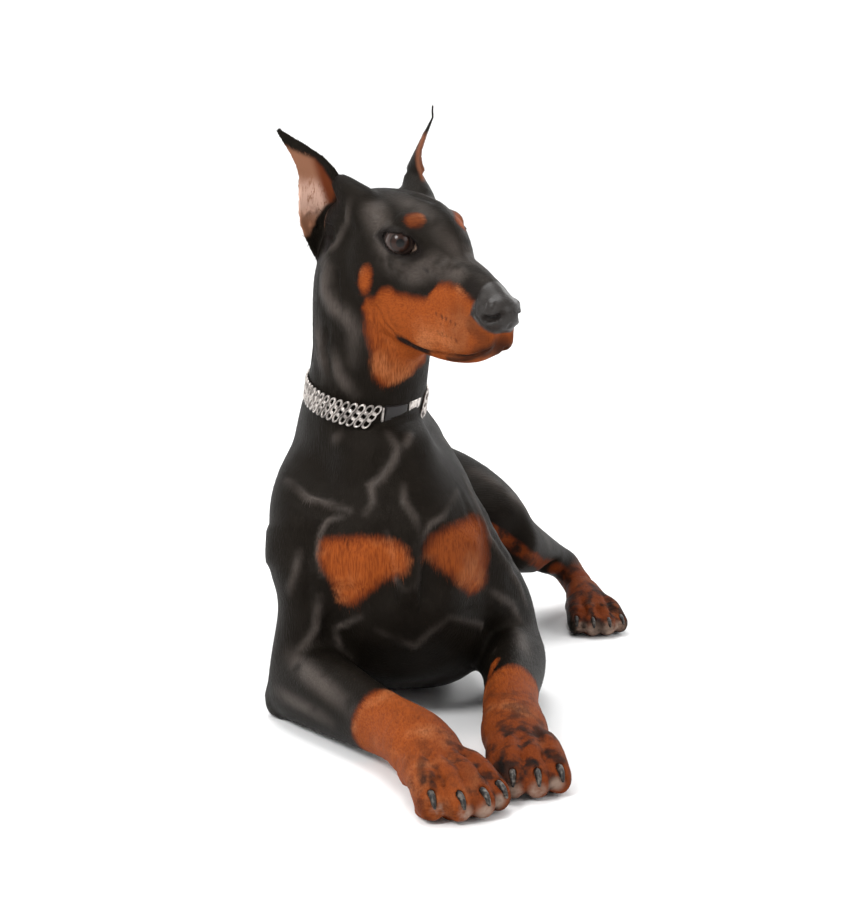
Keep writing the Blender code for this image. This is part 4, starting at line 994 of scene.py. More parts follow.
FACE_MARKS = (
    # reach, strength and path on the head's left side
    (0.42, 1.0, MOUTH),
    (0.95, 1.0, ((0.5, 3.0, -10.1), (2.4, 2.7, -10.4), (4.4, 2.4, -10.4))),
    (0.90, 0.8, ((7.6, 1.8, -10.2), (9.4, 1.6, -9.7), (11.0, 1.5, -9.0), (12.4, 1.2, -8.2))),
    (2.50, 0.85, ((12.4, 1.2, -8.0), (13.2, 0.2, -7.6))),
    (1.50, 0.5, ((10.9, 2.4, -5.2), (12.6, 1.8, -6.4))),
    (1.10, 0.85, ((9.2, 1.7, -1.6), (10.4, 1.9, -2.2))),
    # painted shade on the fold of skin before each ear
    (1.20, 0.8, ((-10.6, 5.2, 4.4), (-9.8, 5.5, 2.6), (-9.6, 5.9, 0.6))),
    # painted shade in each nostril
    (0.6, 1.0, NOSTRIL),
    # painted shade along the crease behind the corner of the mouth
    (0.35, 0.7, ((-1.8, 4.9, -7.6), (-1.0, 4.4, -8.8), (0.3, 3.4, -10.1))),
    (0.45, 1.0, ((1.0, 2.7, -0.8), (2.4, 2.9, -1.3), (3.4, 2.8, -1.8))),
    (0.5, 0.9, ((-3.2, 4.9, 1.0), (-2.6, 4.6, 0.9))),
    (1.5, 0.5, ((-0.3, 3.1, 3.1), (0.7, 2.8, 2.3))),
    (2.6, 0.28, ((9.2, 2.6, -5.0), (10.4, 2.4, -7.4))),
    # painted shade in the mouth of each ear
    (1.50, 1.0, ((-10.4, 6.3, 0.2), (-10.4, 6.3, -2.6))),
)
# %% How dark a place is
def lid_mark(places):
    """1 on the dark rims of the lids and inside the opening."""
    mark = np.zeros(len(places))
    for side in (-1, 1):
        _, flare = in_eye(places, side)
        mark = np.maximum(mark, ramp(flare, 0.9, 0.97) * (1 - ramp(flare, 1.12, 1.55)))
    return mark


def whiskers():
    """Short dashes in rows on the left side of the muzzle."""
    for row in range(WHISKER_ROWS):
        for column in range(WHISKERS_IN_ROW):
            f = 5.9 + column * 0.75 + row * 0.35
            yield ((f, 3.0, -5.6 - row * 0.85), (f + 0.3, 2.9, -5.9 - row * 0.85))


def dark_of(places, on_face):
    """Where the coat or skin is darker: lips, lids, the toes' marks and darker stretches of rust,
    with painted shade in the ears' mouths and the folds before them, the nostrils, the creases
    behind the mouth and on the left thigh's lower edge.
    """
    field = lid_mark(places) if on_face else np.zeros(len(places))
    if on_face:
        halves = list(FACE_MARKS) + [(0.23, 0.7, dash) for dash in whiskers()]
        marks = [(reach, strength, path) for reach, strength, half in halves
                 for path in both_sides(half)]
    else:
        marks = [(reach * PAW_MARK_SPREAD, 1.0, path) for reach, path in PAW_MARKS]
        marks += SHADES
        for paw in PAW_FRAMES:
            marks += on_toes(paw, GAP_MARKS, gaps_of(paw)) + on_toes(paw, TOE_MARKS, paw[3])
    for reach, strength, path in marks:
        field = np.maximum(field, strength * ramp(inside(places, reach, path), 0.0, 0.85))
    return field


print("dark marks", len(PAW_MARKS) + len(SHADES) + len(FACE_MARKS))

# %% Places of the coat's painted sheen
PAINTED_SHEEN_AREAS = (
    # reach, strength and path of sheen painted into the coat on the body
    (2.0, 0.8, ((-11.5, -19.7, 8.2), (-10.4, -21.9, 7.7), (-8.2, -25.9, 7.0), (-4.7, -31.5, 5.7))),
    (1.6, 0.6, ((-13.2, -19.4, 4.2), (-10.3, -24.0, 3.9), (-6.9, -28.7, 3.5))),
    (1.8, 0.35, ((-12.6, -16.4, 21.0), (-12.2, -17.0, 13.0))),
    (1.8, 0.5, ((13.4, -12.6, 10.0), (13.8, -19.3, 8.0))),
    (2.2, 0.45, ((4.9, -6.7, 29.9), (5.8, -7.7, 28.9))),
    (2.6, 0.3, ((9.4, 21.4, 20.6), (12.2, 18.8, 19.1), (14.6, 18.1, 17.4))),
    (3.0, 0.3, ((-3.0, 0.0, 33.0), (-4.6, 30.0, 25.0))),
    (5.0, 0.12, ((-12.5, 2.0, 21.0), (-12.5, 20.0, 18.0))),
    (5.0, 0.12, ((8.0, 2.0, 21.0), (6.5, 14.0, 18.0))),
)
FACE_PAINTED_SHEEN = (
    # reach, strength and path of sheen painted into the coat, on the head's left side
    (2.6, 0.72, ((-5.0, 4.2, 2.0), (-2.6, 4.6, 0.4), (-0.6, 4.8, -2.4), (1.6, 3.9, -2.6),
                 (4.2, 2.6, -1.0), (7.0, 1.8, -0.9))),
    (2.0, 0.5, ((-6.0, 1.8, 4.0), (-2.0, 2.0, 3.8), (1.6, 1.2, 2.2), (5.0, 0.8, 0.6),
                (10.0, 0.5, -0.9))),
    (0.9, 0.5, ((-8.0, 5.4, 2.6), (-7.7, 5.9, 0.4), (-8.4, 6.4, -2.2), (-9.6, 6.6, -3.8))),
)
SHINE_SPREAD = 1.15
SHINE_FALL = 1.6
NARROW_SHINE = 2.4


def sheen_and_gloss_of(places, on_face):
    """Where grey sheen is painted into the coat, with a little gloss: along its ridges, over the
    face and on the forelegs.
    """
    shines = [(reach * SHINE_SPREAD, gloss, path)
              for reach, _, gloss, path in (NECK_RIDGES if on_face else RIDGES)]
    if on_face:
        for reach, strength, half in FACE_PAINTED_SHEEN:
            shines += [(reach, strength, path) for path in both_sides(half)]
    else:
        shines += PAINTED_SHEEN_AREAS
    field = np.zeros(len(places))
    for reach, strength, path in shines:
        gap, along = near(places, path)
        sheen_share = strength * ramp(1 - gap / reach, 0.0, 0.95) ** SHINE_FALL
        if reach < NARROW_SHINE:
            # a narrow line of painted sheen is faint at its ends
            sheen_share *= 0.3 + 0.7 * ramp(np.minimum(along, 1 - along), -0.02, 0.3)
        field = np.maximum(field, sheen_share)
    return field


print("shines", len(PAINTED_SHEEN_AREAS) + len(FACE_PAINTED_SHEEN) + len(RIDGES) + len(NECK_RIDGES))

# %% The ears' cups
# The inner face of an ear, by how far out to the side it is: where the black tip begins,
# where the red strip beside the front rim begins, and where the hollow below it begins.
EAR_SIDE = (-9.9, -9.3, -8.5, -7.4, -6.4, -5.6, -5.0, -4.5)
EAR_TIP_FROM = (7.2, 6.9, 6.4, 6.0, 5.7, 4.8, 3.8, 2.8)
EAR_HEIGHT = (-2.6, -0.6, 0.6, 1.2, 3.0, 4.1, 6.0)
EAR_HOLLOW_FROM = (-6.4, -5.4, -4.9, -4.4, -4.4, -4.4, -4.4)
EAR_RED_FROM = (-5.0, -4.9, -4.7, -4.9, -5.6, -5.9, -6.6)


def ear_fields(places, normals):
    """How much a place is in an ear's cup, and how red and how high it is there."""
    share = np.zeros(len(places))
    f, l, u = to_head(places).T
    for side, line in EAR_LINES.items():
        way = np.array(FORWARD * 0.65 + LEFT * side * 0.7)
        gap, along = near(places, [on_head(*p) for p in line])
        found = ramp(normals @ way, 0.05, 0.35) * (1 - ramp(gap, 3.2, 4.2))
        share = np.maximum(share, found * ramp(along, 0.05, 0.15))
    # the cup's borders behind, below, at the black tip and towards the hollow at its foot
    out = -np.abs(l)
    share *= ramp(-f, np.where(l > 0, 9.8, 11.3), np.where(l > 0, 10.4, 11.9))
    share *= ramp(u, np.where(l > 0, 3.2, -2.9), np.where(l > 0, 3.9, -2.3))
    tip = np.where(l > 0, 9.0, np.interp(out, EAR_SIDE, EAR_TIP_FROM))
    share *= 1 - ramp(u - tip, -0.35, 0.25)
    # the hollow at the cup's foot is left black, as painted shade
    share *= 1 - ramp(out - np.interp(u, EAR_HEIGHT, EAR_HOLLOW_FROM), -0.25, 0.25)
    red = ramp(out - np.interp(u, EAR_HEIGHT, EAR_RED_FROM), -0.5, 0.4)
    # from ahead the left ear is edge on, and shows only a red strip along its outer edge
    x, _, z = places.T / CM
    strip = 1 - ramp(np.interp(z, EAR_RISE, EAR_RIGHT_EDGE) - x, 0.45, 0.85)
    strip *= ramp(z, 58.2, 59.0) * (1 - ramp(z, 63.0, 63.8)) * ramp(l, 3.0, 3.4)
    share = np.where(l > 3.0, strip, share)
    red = np.where(l > 0, 0.6, red)
    return share, red, u


# %% The nose, the bare places, the mottled paws and the left shank's painted shade
PAW_MOTTLE = (
    # how mottled each paw is at its root, and at most
    (0.3, 0.5),
    (0.6, 1),
    (0.8, 1),
    (0.8, 1),
)
# the left hind shank, darkened and mottled like a paw, the darkening painted shade
SHADED_SHANK_LINE = ((12.0, 15.9, 13.0), (18.2, 22.0, 8.0), (21.4, 30.0, 5.0))
HEEL_LINE = ((-0.6, -45.0, 0.8), (0.4, -46.0, 0.8))
TOE_TIPS = (
    # reach, strength and path of the bare front of each toe, as in TOE_FORMS
    (1.35, 1.0, ((8.5, 1.1, 1.3),)),
)


def nose_of(places):
    """1 on the nose leather."""
    f, _, u = to_head(places).T
    low = -4.5 - 0.55 * np.clip(f - 10.9, 0, None)
    shape = np.minimum(np.minimum(f - 10.6, u - low), -0.8 - u)
    return ramp(shape, -0.08, 0.22)


def bare_of(places, on_face):
    """1 on the greyish fronts of the toes and in the inner corners of the eyes."""
    field = np.zeros(len(places))
    if on_face:
        for side in (-1, 1):
            local, flare = in_eye(places, side)
            corner = (1 - ramp(flare, 0.9, 1.02)) * ramp(-local[:, 0], 1.0, 1.3)
            field = np.maximum(field, corner)
        return field
    bare = [(1.2, 1.0, HEEL_LINE)]
    for paw in PAW_FRAMES:
        bare += on_toes(paw, TOE_TIPS, paw[3])
    for reach, _, path in bare:
        field = np.maximum(field, ramp(inside(places, reach, path), 0.0, 0.6))
    return field


def paw_of(places):
    """1 on the mottled paws, and on the left shank, whose darkening is painted shade."""
    field = np.zeros(len(places))
    for (line, reach), (start, most) in zip(PAW_LINES, PAW_MOTTLE):
        gap, along = near(places, line)
        field = np.maximum(field, (1 - ramp(gap, reach * 0.9, reach * 2.2))
                           * np.clip(start + along, 0, 1) * most)
    gap, _ = near(places, SHADED_SHANK_LINE)
    return np.maximum(field, 1 - ramp(gap, 1.5, 4.0))


print("mottled paws", len(PAW_MOTTLE))

# %% Store the fields on the skins
# one of these fields says where grey sheen is painted into the coat's colour, with a little gloss
FIELDS = ("rust", "dark", "gloss", "ear", "ear_red", "ear_height", "nose", "bare", "paw")


def keep_field(piece, name, values):
    """Keeps one number a vertex as an attribute."""
    layer = piece.data.attributes.new(name, "FLOAT", "POINT")
    layer.data.foreach_set("value", values.astype(np.float32))


def fields_of(places, normals, on_face):
    """All the coat's fields of some places."""
    none = np.zeros(len(places))
    ear, ear_red, ear_height = ear_fields(places, normals) if on_face else (none, none, none)
    return dict(zip(FIELDS, (
        rust_of(places, on_face), dark_of(places, on_face), sheen_and_gloss_of(places, on_face),
        ear, ear_red, ear_height, nose_of(places) if on_face else none,
        bare_of(places, on_face), none if on_face else paw_of(places))))


for skin in (head_skin, body_skin):
    values = fields_of(places_of(skin), normals_of(skin), skin is head_skin)
    for name, value in values.items():
        keep_field(skin, name, value)
    print(skin.name, "rust share", round(float((values["rust"] > 0).mean()), 3))

# %% [markdown]
# ## The lie of the hair
#
# Hair runs back from the nose, down the neck and chest, and along each leg to the toes. A few
# guide places say which way it runs there, and every other place takes a blend of the guides
# near it, laid flat on the skin. The bump of the coat and the tufts both follow it.

# %% Guides
GUIDES = (
    # place, way that the hair runs, both in the body's frame
    ((-3, 0, 33), (0, 1, -0.15)), ((-4.5, 30, 24), (0, 1, -0.2)),
    ((9, 8, 16), (0.1, 0.8, -0.6)), ((-13, 8, 16), (-0.1, 0.8, -0.6)),
    ((1, -23, 20), (0, -0.2, -1)), ((1, -20, 8), (0, 0.3, -1)),
    ((-13, -12, 24), (0, 0.2, -1)), ((8, -10, 24), (0.3, 0.1, -1)), ((0, 4, 0), (0, 1, 0)),
    ((-11, -17, 12), (0, 0.1, -1)), ((12, -10, 12), (0.2, 0.2, -1)),
    ((-8, -21, 5), (0.5, -0.86, -0.1)), ((0, -35, 5), (0.5, -0.86, -0.1)),
    ((6, -46, 3), (0.43, -0.9, -0.25)), ((12.6, -20, 5), (0, -1, -0.1)),
    ((13, -38, 3), (0, -1, -0.25)), ((-13, -13, 5), (-0.3, 0.3, -0.8)),
    ((14, -4, 5), (0.3, 0.5, -0.7)), ((6, 26, 20), (0.85, -0.3, -0.35)),
    ((13, 17, 14), (0.8, 0.2, -0.5)), ((17.5, 27, 9), (0.45, 0.85, -0.3)),
    ((23.5, 30, 4), (0.1, -1, -0.1)), ((25, 21, 3), (0.15, -1, -0.2)),
    ((-11, 26, 9), (-0.5, -0.6, -0.6)), ((4, 34, 3), (0.8, -0.55, 0)),
    ((-5, 44, 16), (0, 0.4, -0.9)), ((-6.2, 49, 20), (0, 1, 0)),
    ((-3, -18, 42), (0.05, 0.05, -1)), ((-3, -3, 42), (0, 0.3, -1)),
    ((-9.5, -11, 42), (0, 0.1, -1)), ((3.5, -11, 42), (0, 0.1, -1)),
)
HEAD_GUIDES = (
    # place and way in the head's frame, for its left side
    ((7, 0.8, 0), (-1, 0, 0.1)), ((0, 2, 3), (-1, 0.15, 0)), ((-7, 1, 4), (-1, 0, 0)),
    ((-3, 5.5, -4), (-0.8, 0.2, -0.6)), ((8, 3, -6.5), (-0.7, 0, -0.7)),
    ((3, 3.5, -6), (-0.9, 0.1, -0.4)), ((5, 0, -11), (-1, 0, -0.1)),
    ((-8, 5.5, -6), (-0.4, 0, -1)), ((-12, 7, 3), (-0.35, 0.3, 0.9)),
    ((-14.5, 9, 8), (-0.5, 0.4, 0.8)),
)
guide_places = [place for place, _ in GUIDES]
guide_ways = [way for _, way in GUIDES]
for (f, l, u), (wf, wl, wu) in HEAD_GUIDES:
    for side in (1, -1):
        guide_places.append(on_head(f, side * l, u))
        guide_ways.append(tuple(FORWARD * wf + LEFT * side * wl + UP * wu))
guide_places = np.array(guide_places)
guide_ways = np.array(guide_ways)
guide_ways /= np.linalg.norm(guide_ways, axis=1)[:, None]


def lie_of(places, normals):
    """The way that the hair runs at each place, flat on the skin."""
    way = np.zeros_like(places)
    for place, direction in zip(guide_places, guide_ways):
        gap = np.linalg.norm(places / CM - place, axis=1)
        way += (1 / (gap / 4 + 0.2) ** 4)[:, None] * direction
    way -= normals * (way * normals).sum(axis=1)[:, None]
    return way / np.maximum(np.linalg.norm(way, axis=1), 1e-9)[:, None]


def keep_lie(piece, lie):
    """Keeps how much the hair runs along each axis as an attribute."""
    layer = piece.data.attributes.new("lie", "FLOAT_VECTOR", "POINT")
    layer.data.foreach_set("vector", np.abs(lie).astype(np.float32).ravel())


for skin in (head_skin, body_skin):
    keep_lie(skin, lie_of(places_of(skin), normals_of(skin)))
print("guides", len(guide_places))

# %% [markdown]
# ## The coat's material
#
# The black coat is nearly black, with a soft grey sheen painted into its colour along the ridges
# and over the face, and the rust is a warm brown that deepens where hair overlaps. Two node
# groups do the shared work. One turns the kept numbers into the coat's colour, the painted sheen
# with it, so that skin and tufts carry the same markings. The other draws streaks along the
# hair: three noises, each drawn out along one axis, mixed by the way the hair lies there.

# %% Small helpers for node groups
def new_group(name, gives):
    """A shader group that puts out values and colours, and its output node."""
    kinds = {"f": "NodeSocketFloat", "c": "NodeSocketColor"}
    group = bpy.data.node_groups.new(name, "ShaderNodeTree")
    for label, kind in gives:
        group.interface.new_socket(name=label, in_out="OUTPUT", socket_type=kinds[kind])
    return group, group.nodes.new("NodeGroupOutput")


def wire(tree, source, target):
    """Links a value or a socket to a socket."""
    if isinstance(source, bpy.types.NodeSocket):
        tree.links.new(source, target)
    else:
        target.default_value = source


def sums(tree, operation, *values, clamp=False):
    """A math node of an operation on values or sockets."""
    node = tree.nodes.new("ShaderNodeMath")
    node.operation = operation
    node.use_clamp = clamp
    for k, value in enumerate(values):
        wire(tree, value, node.inputs[k])
    return node.outputs[0]


def times(tree, first, second, clamp=False):
    """The product of two values or sockets."""
    return sums(tree, "MULTIPLY", first, second, clamp=clamp)


def plus(tree, first, second):
    """The sum of two values or sockets."""
    return sums(tree, "ADD", first, second)


def minus(tree, first, second):
    """The difference of two values or sockets."""
    return sums(tree, "SUBTRACT", first, second)


def smooth_step(tree, value, low, high):
    """0 below low and 1 above high."""
    node = tree.nodes.new("ShaderNodeMapRange")
    node.interpolation_type = "SMOOTHSTEP"
    for label, given in (("Value", value), ("From Min", low), ("From Max", high)):
        wire(tree, given, node.inputs[label])
    return node.outputs["Result"]


def blend(tree, share, first, second):
    """A mix of two colours."""
    node = tree.nodes.new("ShaderNodeMix")
    node.data_type = "RGBA"
    for k, given in ((0, share), (6, first), (7, second)):
        wire(tree, given, node.inputs[k])
    return node.outputs[2]


def layered(tree, colour, *layers):
    """A colour with others laid over it in turn, each by its own share."""
    for share, tint in layers:
        colour = blend(tree, share, colour, tint)
    return colour


def own_places(tree):
    """The places on the piece itself."""
    return tree.nodes.new("ShaderNodeTexCoord").outputs["Object"]


def noise(tree, where, scale, detail=3.0, rough=0.5):
    """The value of a noise."""
    node = tree.nodes.new("ShaderNodeTexNoise")
    wire(tree, where, node.inputs["Vector"])
    node.inputs["Scale"].default_value = scale
    node.inputs["Detail"].default_value = detail
    node.inputs["Roughness"].default_value = rough
    return node.outputs["Fac"]


def field(tree, name):
    """A kept number of the surface."""
    node = tree.nodes.new("ShaderNodeAttribute")
    node.attribute_name = name
    return node.outputs["Fac"]


def placed(tree, group):
    """The outputs of a node group that is set into a material or another group."""
    node = tree.nodes.new("ShaderNodeGroup")
    node.node_tree = group
    return node.outputs


def bumped(tree, height, strength, distance):
    """A normal that a height leans."""
    node = tree.nodes.new("ShaderNodeBump")
    node.inputs["Strength"].default_value = strength
    node.inputs["Distance"].default_value = distance
    tree.links.new(height, node.inputs["Height"])
    return node.outputs["Normal"]


# %% Streaks along the hair
HAIR_ACROSS = 620
HAIR_ALONG = 75


def streak_group():
    """A group that gives streaks which follow the hair, and a slower mottle."""
    group, gives = new_group("hair_streaks", (("Streak", "f"), ("Mottle", "f")))
    where = own_places(group)
    lie = group.nodes.new("ShaderNodeAttribute")
    lie.attribute_name = "lie"
    parts = group.nodes.new("ShaderNodeSeparateXYZ")
    group.links.new(lie.outputs["Vector"], parts.inputs[0])
    total = None
    for axis in range(3):
        stretch = group.nodes.new("ShaderNodeVectorMath")
        stretch.operation = "MULTIPLY"
        wire(group, where, stretch.inputs[0])
        stretch.inputs[1].default_value = [
            HAIR_ALONG if k == axis else HAIR_ACROSS for k in range(3)]
        share = sums(group, "POWER", parts.outputs[axis], 2.0)
        part = times(group, noise(group, stretch.outputs[0], 1.0, 2.0, 0.6), share)
        total = part if total is None else plus(group, total, part)
    group.links.new(total, gives.inputs["Streak"])
    group.links.new(noise(group, where, 38, 4.0, 0.6), gives.inputs["Mottle"])
    return group


# %% Colours of the coat
BLACK = (0.0036, 0.0028, 0.0020, 1)
BLACK_WARM = (0.0088, 0.0070, 0.0053, 1)
# the grey of the sheen painted into the black coat
PAINTED_SHEEN = (0.066, 0.054, 0.047, 1)
RUST = (0.235, 0.052, 0.0095, 1)
RUST_DEEP = (0.085, 0.016, 0.004, 1)
RUST_PALE = (0.36, 0.125, 0.046, 1)
EAR_PINK = (0.46, 0.29, 0.225, 1)
EAR_BROWN = (0.20, 0.09, 0.052, 1)
EAR_RED = (0.095, 0.021, 0.006, 1)
TOE_GREY = (0.25, 0.175, 0.135, 1)
SKIN_DARK = (0.0075, 0.0058, 0.0052, 1)
NOSE = (0.0165, 0.0138, 0.0122, 1)


def coat_group(streaks):
    """A group that turns the kept fields into the coat's colour and masks."""
    group, gives = new_group("coat_colours", (
        ("Color", "c"), ("Rust", "f"), ("Bare", "f"), ("Leather", "f"), ("Gloss", "f")))
    where = own_places(group)
    kept = {name: field(group, name) for name in FIELDS}
    hair = placed(group, streaks)
    streak, mottle = hair["Streak"], hair["Mottle"]
    clouds = noise(group, where, 52, 3.0, 0.55)

    # where it is rust, with a border that the hair breaks up
    ragged = plus(group, times(group, streak, 0.4), times(group, mottle, 0.45))
    shifted = plus(group, kept["rust"], minus(group, ragged, 0.42))
    rust = smooth_step(group, shifted, -0.22, 0.28)

    # rust hair: deep at the border, pale in places, streaked, and darker and mottled on the paws
    # and the left shank, the shank's darkening painted shade
    deep = smooth_step(group, plus(group, shifted, times(group, mottle, -0.3)), 0.50, -0.1)
    light = smooth_step(group, noise(group, where, 22, 3.0), 0.48, 0.75)
    pale = times(group, light, plus(group, 0.7, times(group, kept["paw"], 0.6)))
    strand = smooth_step(group, streak, 0.62, 0.30)
    mottled = times(group, kept["paw"], smooth_step(group, clouds, 0.45, 0.66))
    warm = layered(
        group, RUST,
        (times(group, deep, 0.85), RUST_DEEP),
        (pale, RUST_PALE),
        (times(group, strand, 0.6), RUST_DEEP),
        (times(group, kept["paw"], 0.72), RUST_DEEP),
        (times(group, mottled, 0.8), SKIN_DARK))

    # black hair, with a grey sheen painted into it along its ridges, that comes and goes
    broken = smooth_step(group, noise(group, where, 30, 3.0), 0.22, 0.52)
    sheen_share = times(group, times(group, kept["gloss"], broken),
                  plus(group, 0.45, times(group, streak, 1.1)), clamp=True)
    cold = blend(group, sheen_share, blend(group, mottle, BLACK, BLACK_WARM), PAINTED_SHEEN)

    # the ears' cups: pale in the middle, brown above and below, red beside the front rim
    height = plus(group, kept["ear_height"], times(group, minus(group, mottle, 0.5), 1.6))
    cup = layered(
        group, EAR_PINK,
        (smooth_step(group, height, 1.8, 4.2), EAR_BROWN),
        (smooth_step(group, height, 0.6, -1.4), EAR_BROWN),
        (smooth_step(group, streak, 0.5, 0.3), EAR_BROWN),
        (kept["ear_red"], EAR_RED))

    # bare skin, and dark marks that are worn away in the paws' pale clouds
    bare = times(group, kept["bare"], smooth_step(group, mottle, 0.3, 0.55))
    dark = times(group, kept["dark"], plus(group, 0.6, times(group, streak, 0.8)), clamp=True)
    worn = times(group, kept["paw"], smooth_step(group, clouds, 0.62, 0.42))
    dark = times(group, dark, minus(group, 1.0, worn))
    colour = layered(
        group, cold,
        (rust, warm),
        (kept["ear"], cup),
        (bare, TOE_GREY),
        (kept["nose"], NOSE),
        (dark, SKIN_DARK))

    # a little real gloss where sheen is painted, and on the wet nose
    wet = times(group, kept["nose"], minus(group, 0.42, times(group, dark, 0.42)))
    gloss = sums(group, "MAXIMUM", times(group, sheen_share, 0.1), wet)
    for label, value in (("Color", colour), ("Rust", rust), ("Leather", kept["nose"]),
                         ("Bare", sums(group, "MAXIMUM", kept["ear"], bare)), ("Gloss", gloss)):
        group.links.new(value, gives.inputs[label])
    return group


hair_streaks = streak_group()
coat_colours = coat_group(hair_streaks)
print("groups", hair_streaks.name, coat_colours.name)


# %% The skin's and the tufts' material
def coat_material(name, bump_height):
    """The coat: short hair with little shine, and wet leather on the nose."""
    made, tree, shader = new_material(name, {
        "Coat Roughness": 0.34,
        "Specular IOR Level": 0.055,
        "Specular Tint": (1.0, 0.88, 0.78, 1),
    })
    coat = placed(tree, coat_colours)
    streak = placed(tree, hair_streaks)["Streak"]
    tree.links.new(coat["Color"], shader.inputs["Base Color"])
    tree.links.new(coat["Gloss"], shader.inputs["Coat Weight"])
    rough = plus(tree, plus(tree, 0.46, times(tree, coat["Rust"], 0.14)),
                 times(tree, streak, 0.12))
    tree.links.new(rough, shader.inputs["Roughness"])
    cells = tree.nodes.new("ShaderNodeTexVoronoi")
    cells.inputs["Scale"].default_value = 520
    tree.links.new(own_places(tree), cells.inputs["Vector"])
    hairy = times(tree, streak, minus(tree, 1.0, coat["Leather"]))
    hairy = times(tree, hairy, minus(tree, 1.0, times(tree, coat["Bare"], 0.8)))
    pebbles = times(tree, cells.outputs["Distance"], times(tree, coat["Leather"], 0.6))
    tree.links.new(bumped(tree, plus(tree, hairy, pebbles), 0.6, bump_height),
                   shader.inputs["Normal"])
    return made


skin_coat = coat_material("short_coat", 0.0015)
for skin in (head_skin, body_skin):
    skin.data.materials.clear()
    skin.data.materials.append(skin_coat)
    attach(skin, "root")
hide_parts("head", "ear_right", "ear_left")
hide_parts(*BODY_NODES)
print("skins dressed")

# %% [markdown]
# ## The eyes
#
# A dog's eye is a wet ball: a brown iris with a round pupil, a dark rim and a clear bulge in
# front. A glass dome over a hollow iris is closest to life, but it throws dark shadows on the
# iris. One ball whose front bulges a little, with a clear coat over painted rings, looks the
# same and keeps its colours.

# %% Eyeballs
IRIS_ANGLE = math.radians(40)
PUPIL_ANGLE = math.radians(17)
GAZE_LIFT = math.radians(7)
BULGE = 0.05
FIBRES = 1500
IRIS_DARK = (0.005, 0.0024, 0.002, 1)
IRIS_BROWN = (0.032, 0.012, 0.007, 1)
IRIS_RIM = (0.007, 0.005, 0.004, 1)
WHITE_DARK = (0.022, 0.014, 0.012, 1)
WHITE_PALE = (0.055, 0.036, 0.030, 1)
PUPIL = (0.0015, 0.0015, 0.0015, 1)


def eye_material():
    """Rings of pupil, iris, dark rim and white, by the angle from the eye's axis."""
    made, tree, shader = new_material("eye_rings", {
        "Roughness": 0.3,
        "Specular IOR Level": 0.1,
        "Coat Weight": 0.25,
        "Coat Roughness": 0.02,
    })
    angle = field(tree, "ring")
    fibres = noise(tree, own_places(tree), FIBRES, 4.0, 0.7)
    rings = layered(
        tree, blend(tree, fibres, IRIS_DARK, IRIS_BROWN),
        (smooth_step(tree, angle, IRIS_ANGLE * 0.8, IRIS_ANGLE), IRIS_RIM),
        (smooth_step(tree, angle, IRIS_ANGLE, IRIS_ANGLE * 1.12),
         blend(tree, fibres, WHITE_DARK, WHITE_PALE)),
        (smooth_step(tree, angle, PUPIL_ANGLE, PUPIL_ANGLE * 0.85), PUPIL))
    tree.links.new(rings, shader.inputs["Base Color"])
    return made


eye_finish = eye_material()
for side, node in ((-1, "eye_right"), (1, "eye_left")):
    gaze = (eye_axis(side) * math.cos(GAZE_LIFT) + UP * math.sin(GAZE_LIFT)).normalized()
    bm = bmesh.new()
    turn = gaze.to_track_quat("Z", "Y").to_matrix().to_4x4()
    place = Matrix.Translation(eye_centre(side) * CM) @ turn
    bmesh.ops.create_uvsphere(bm, u_segments=64, v_segments=48, radius=EYE_RADIUS * CM,
                              matrix=place)
    eye = linked(node + "_ball", bm, eye_finish)
    out = places_of(eye) - np.array(eye_centre(side)) * CM
    out /= np.linalg.norm(out, axis=1)[:, None]
    angle = np.arccos(np.clip(out @ np.array(gaze), -1, 1))
    bulge = BULGE * CM * (1 - ramp(angle, 0.0, IRIS_ANGLE * 1.2))
    move_to(eye, places_of(eye) + out * bulge[:, None])
    keep_field(eye, "ring", angle)
    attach(eye, "root")
    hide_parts(node)
    print(node, "centre", [round(v, 1) for v in eye_centre(side)])

# %% [markdown]
# ## Claws
#
# The solids already hold each claw's place and curve, in a few flat faces. New claws could be
# drawn, but a subdivided copy of the solids is smooth and stays in its socket. It is drawn back
# a little, as the skin was rounded there. Dark horn with faint streaks finishes it.

# %% Claws from their solids
CLAW_NODES = [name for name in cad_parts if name.startswith("claw_")]
CLAW_SUNK = 0.32
HORN_DARK = (0.010, 0.008, 0.007, 1)
HORN_PALE = (0.11, 0.095, 0.08, 1)
PAW_NAMES = ("forepaw_right", "forepaw_left", "hindpaw_left", "hindpaw_right")
bm = bmesh.new()
for node in CLAW_NODES:
    start = len(bm.verts)
    bm.from_mesh(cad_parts[node].data)
    bm.verts.ensure_lookup_table()
    # a claw's name is claw_, its paw's name, _ and its number
    paw = PAW_FRAMES[PAW_NAMES.index(node[5:-2])]
    ahead = (Vector((*paw[1], 0)) - Vector((*paw[0], 0))).normalized()
    bmesh.ops.translate(bm, vec=-ahead * CLAW_SUNK * CM, verts=bm.verts[start:])
bmesh.ops.remove_doubles(bm, verts=bm.verts, dist=WELD)
claws = linked("claws", bm)
subdivide = claws.modifiers.new("round", "SUBSURF")
subdivide.levels = 2
subdivide.render_levels = 2
settle(claws)


def horn_material():
    """Dark horn with faint pale streaks."""
    made, tree, shader = new_material("claw_horn", {
        "Roughness": 0.4, "Specular IOR Level": 0.25})
    streaks = smooth_step(tree, noise(tree, own_places(tree), 210, 3.0), 0.45, 0.75)
    tree.links.new(blend(tree, streaks, HORN_DARK, HORN_PALE), shader.inputs["Base Color"])
    return made


claws.data.materials.append(horn_material())
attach(claws, "root")
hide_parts(*CLAW_NODES)
print("claws", len(CLAW_NODES), "faces", len(claws.data.polygons))

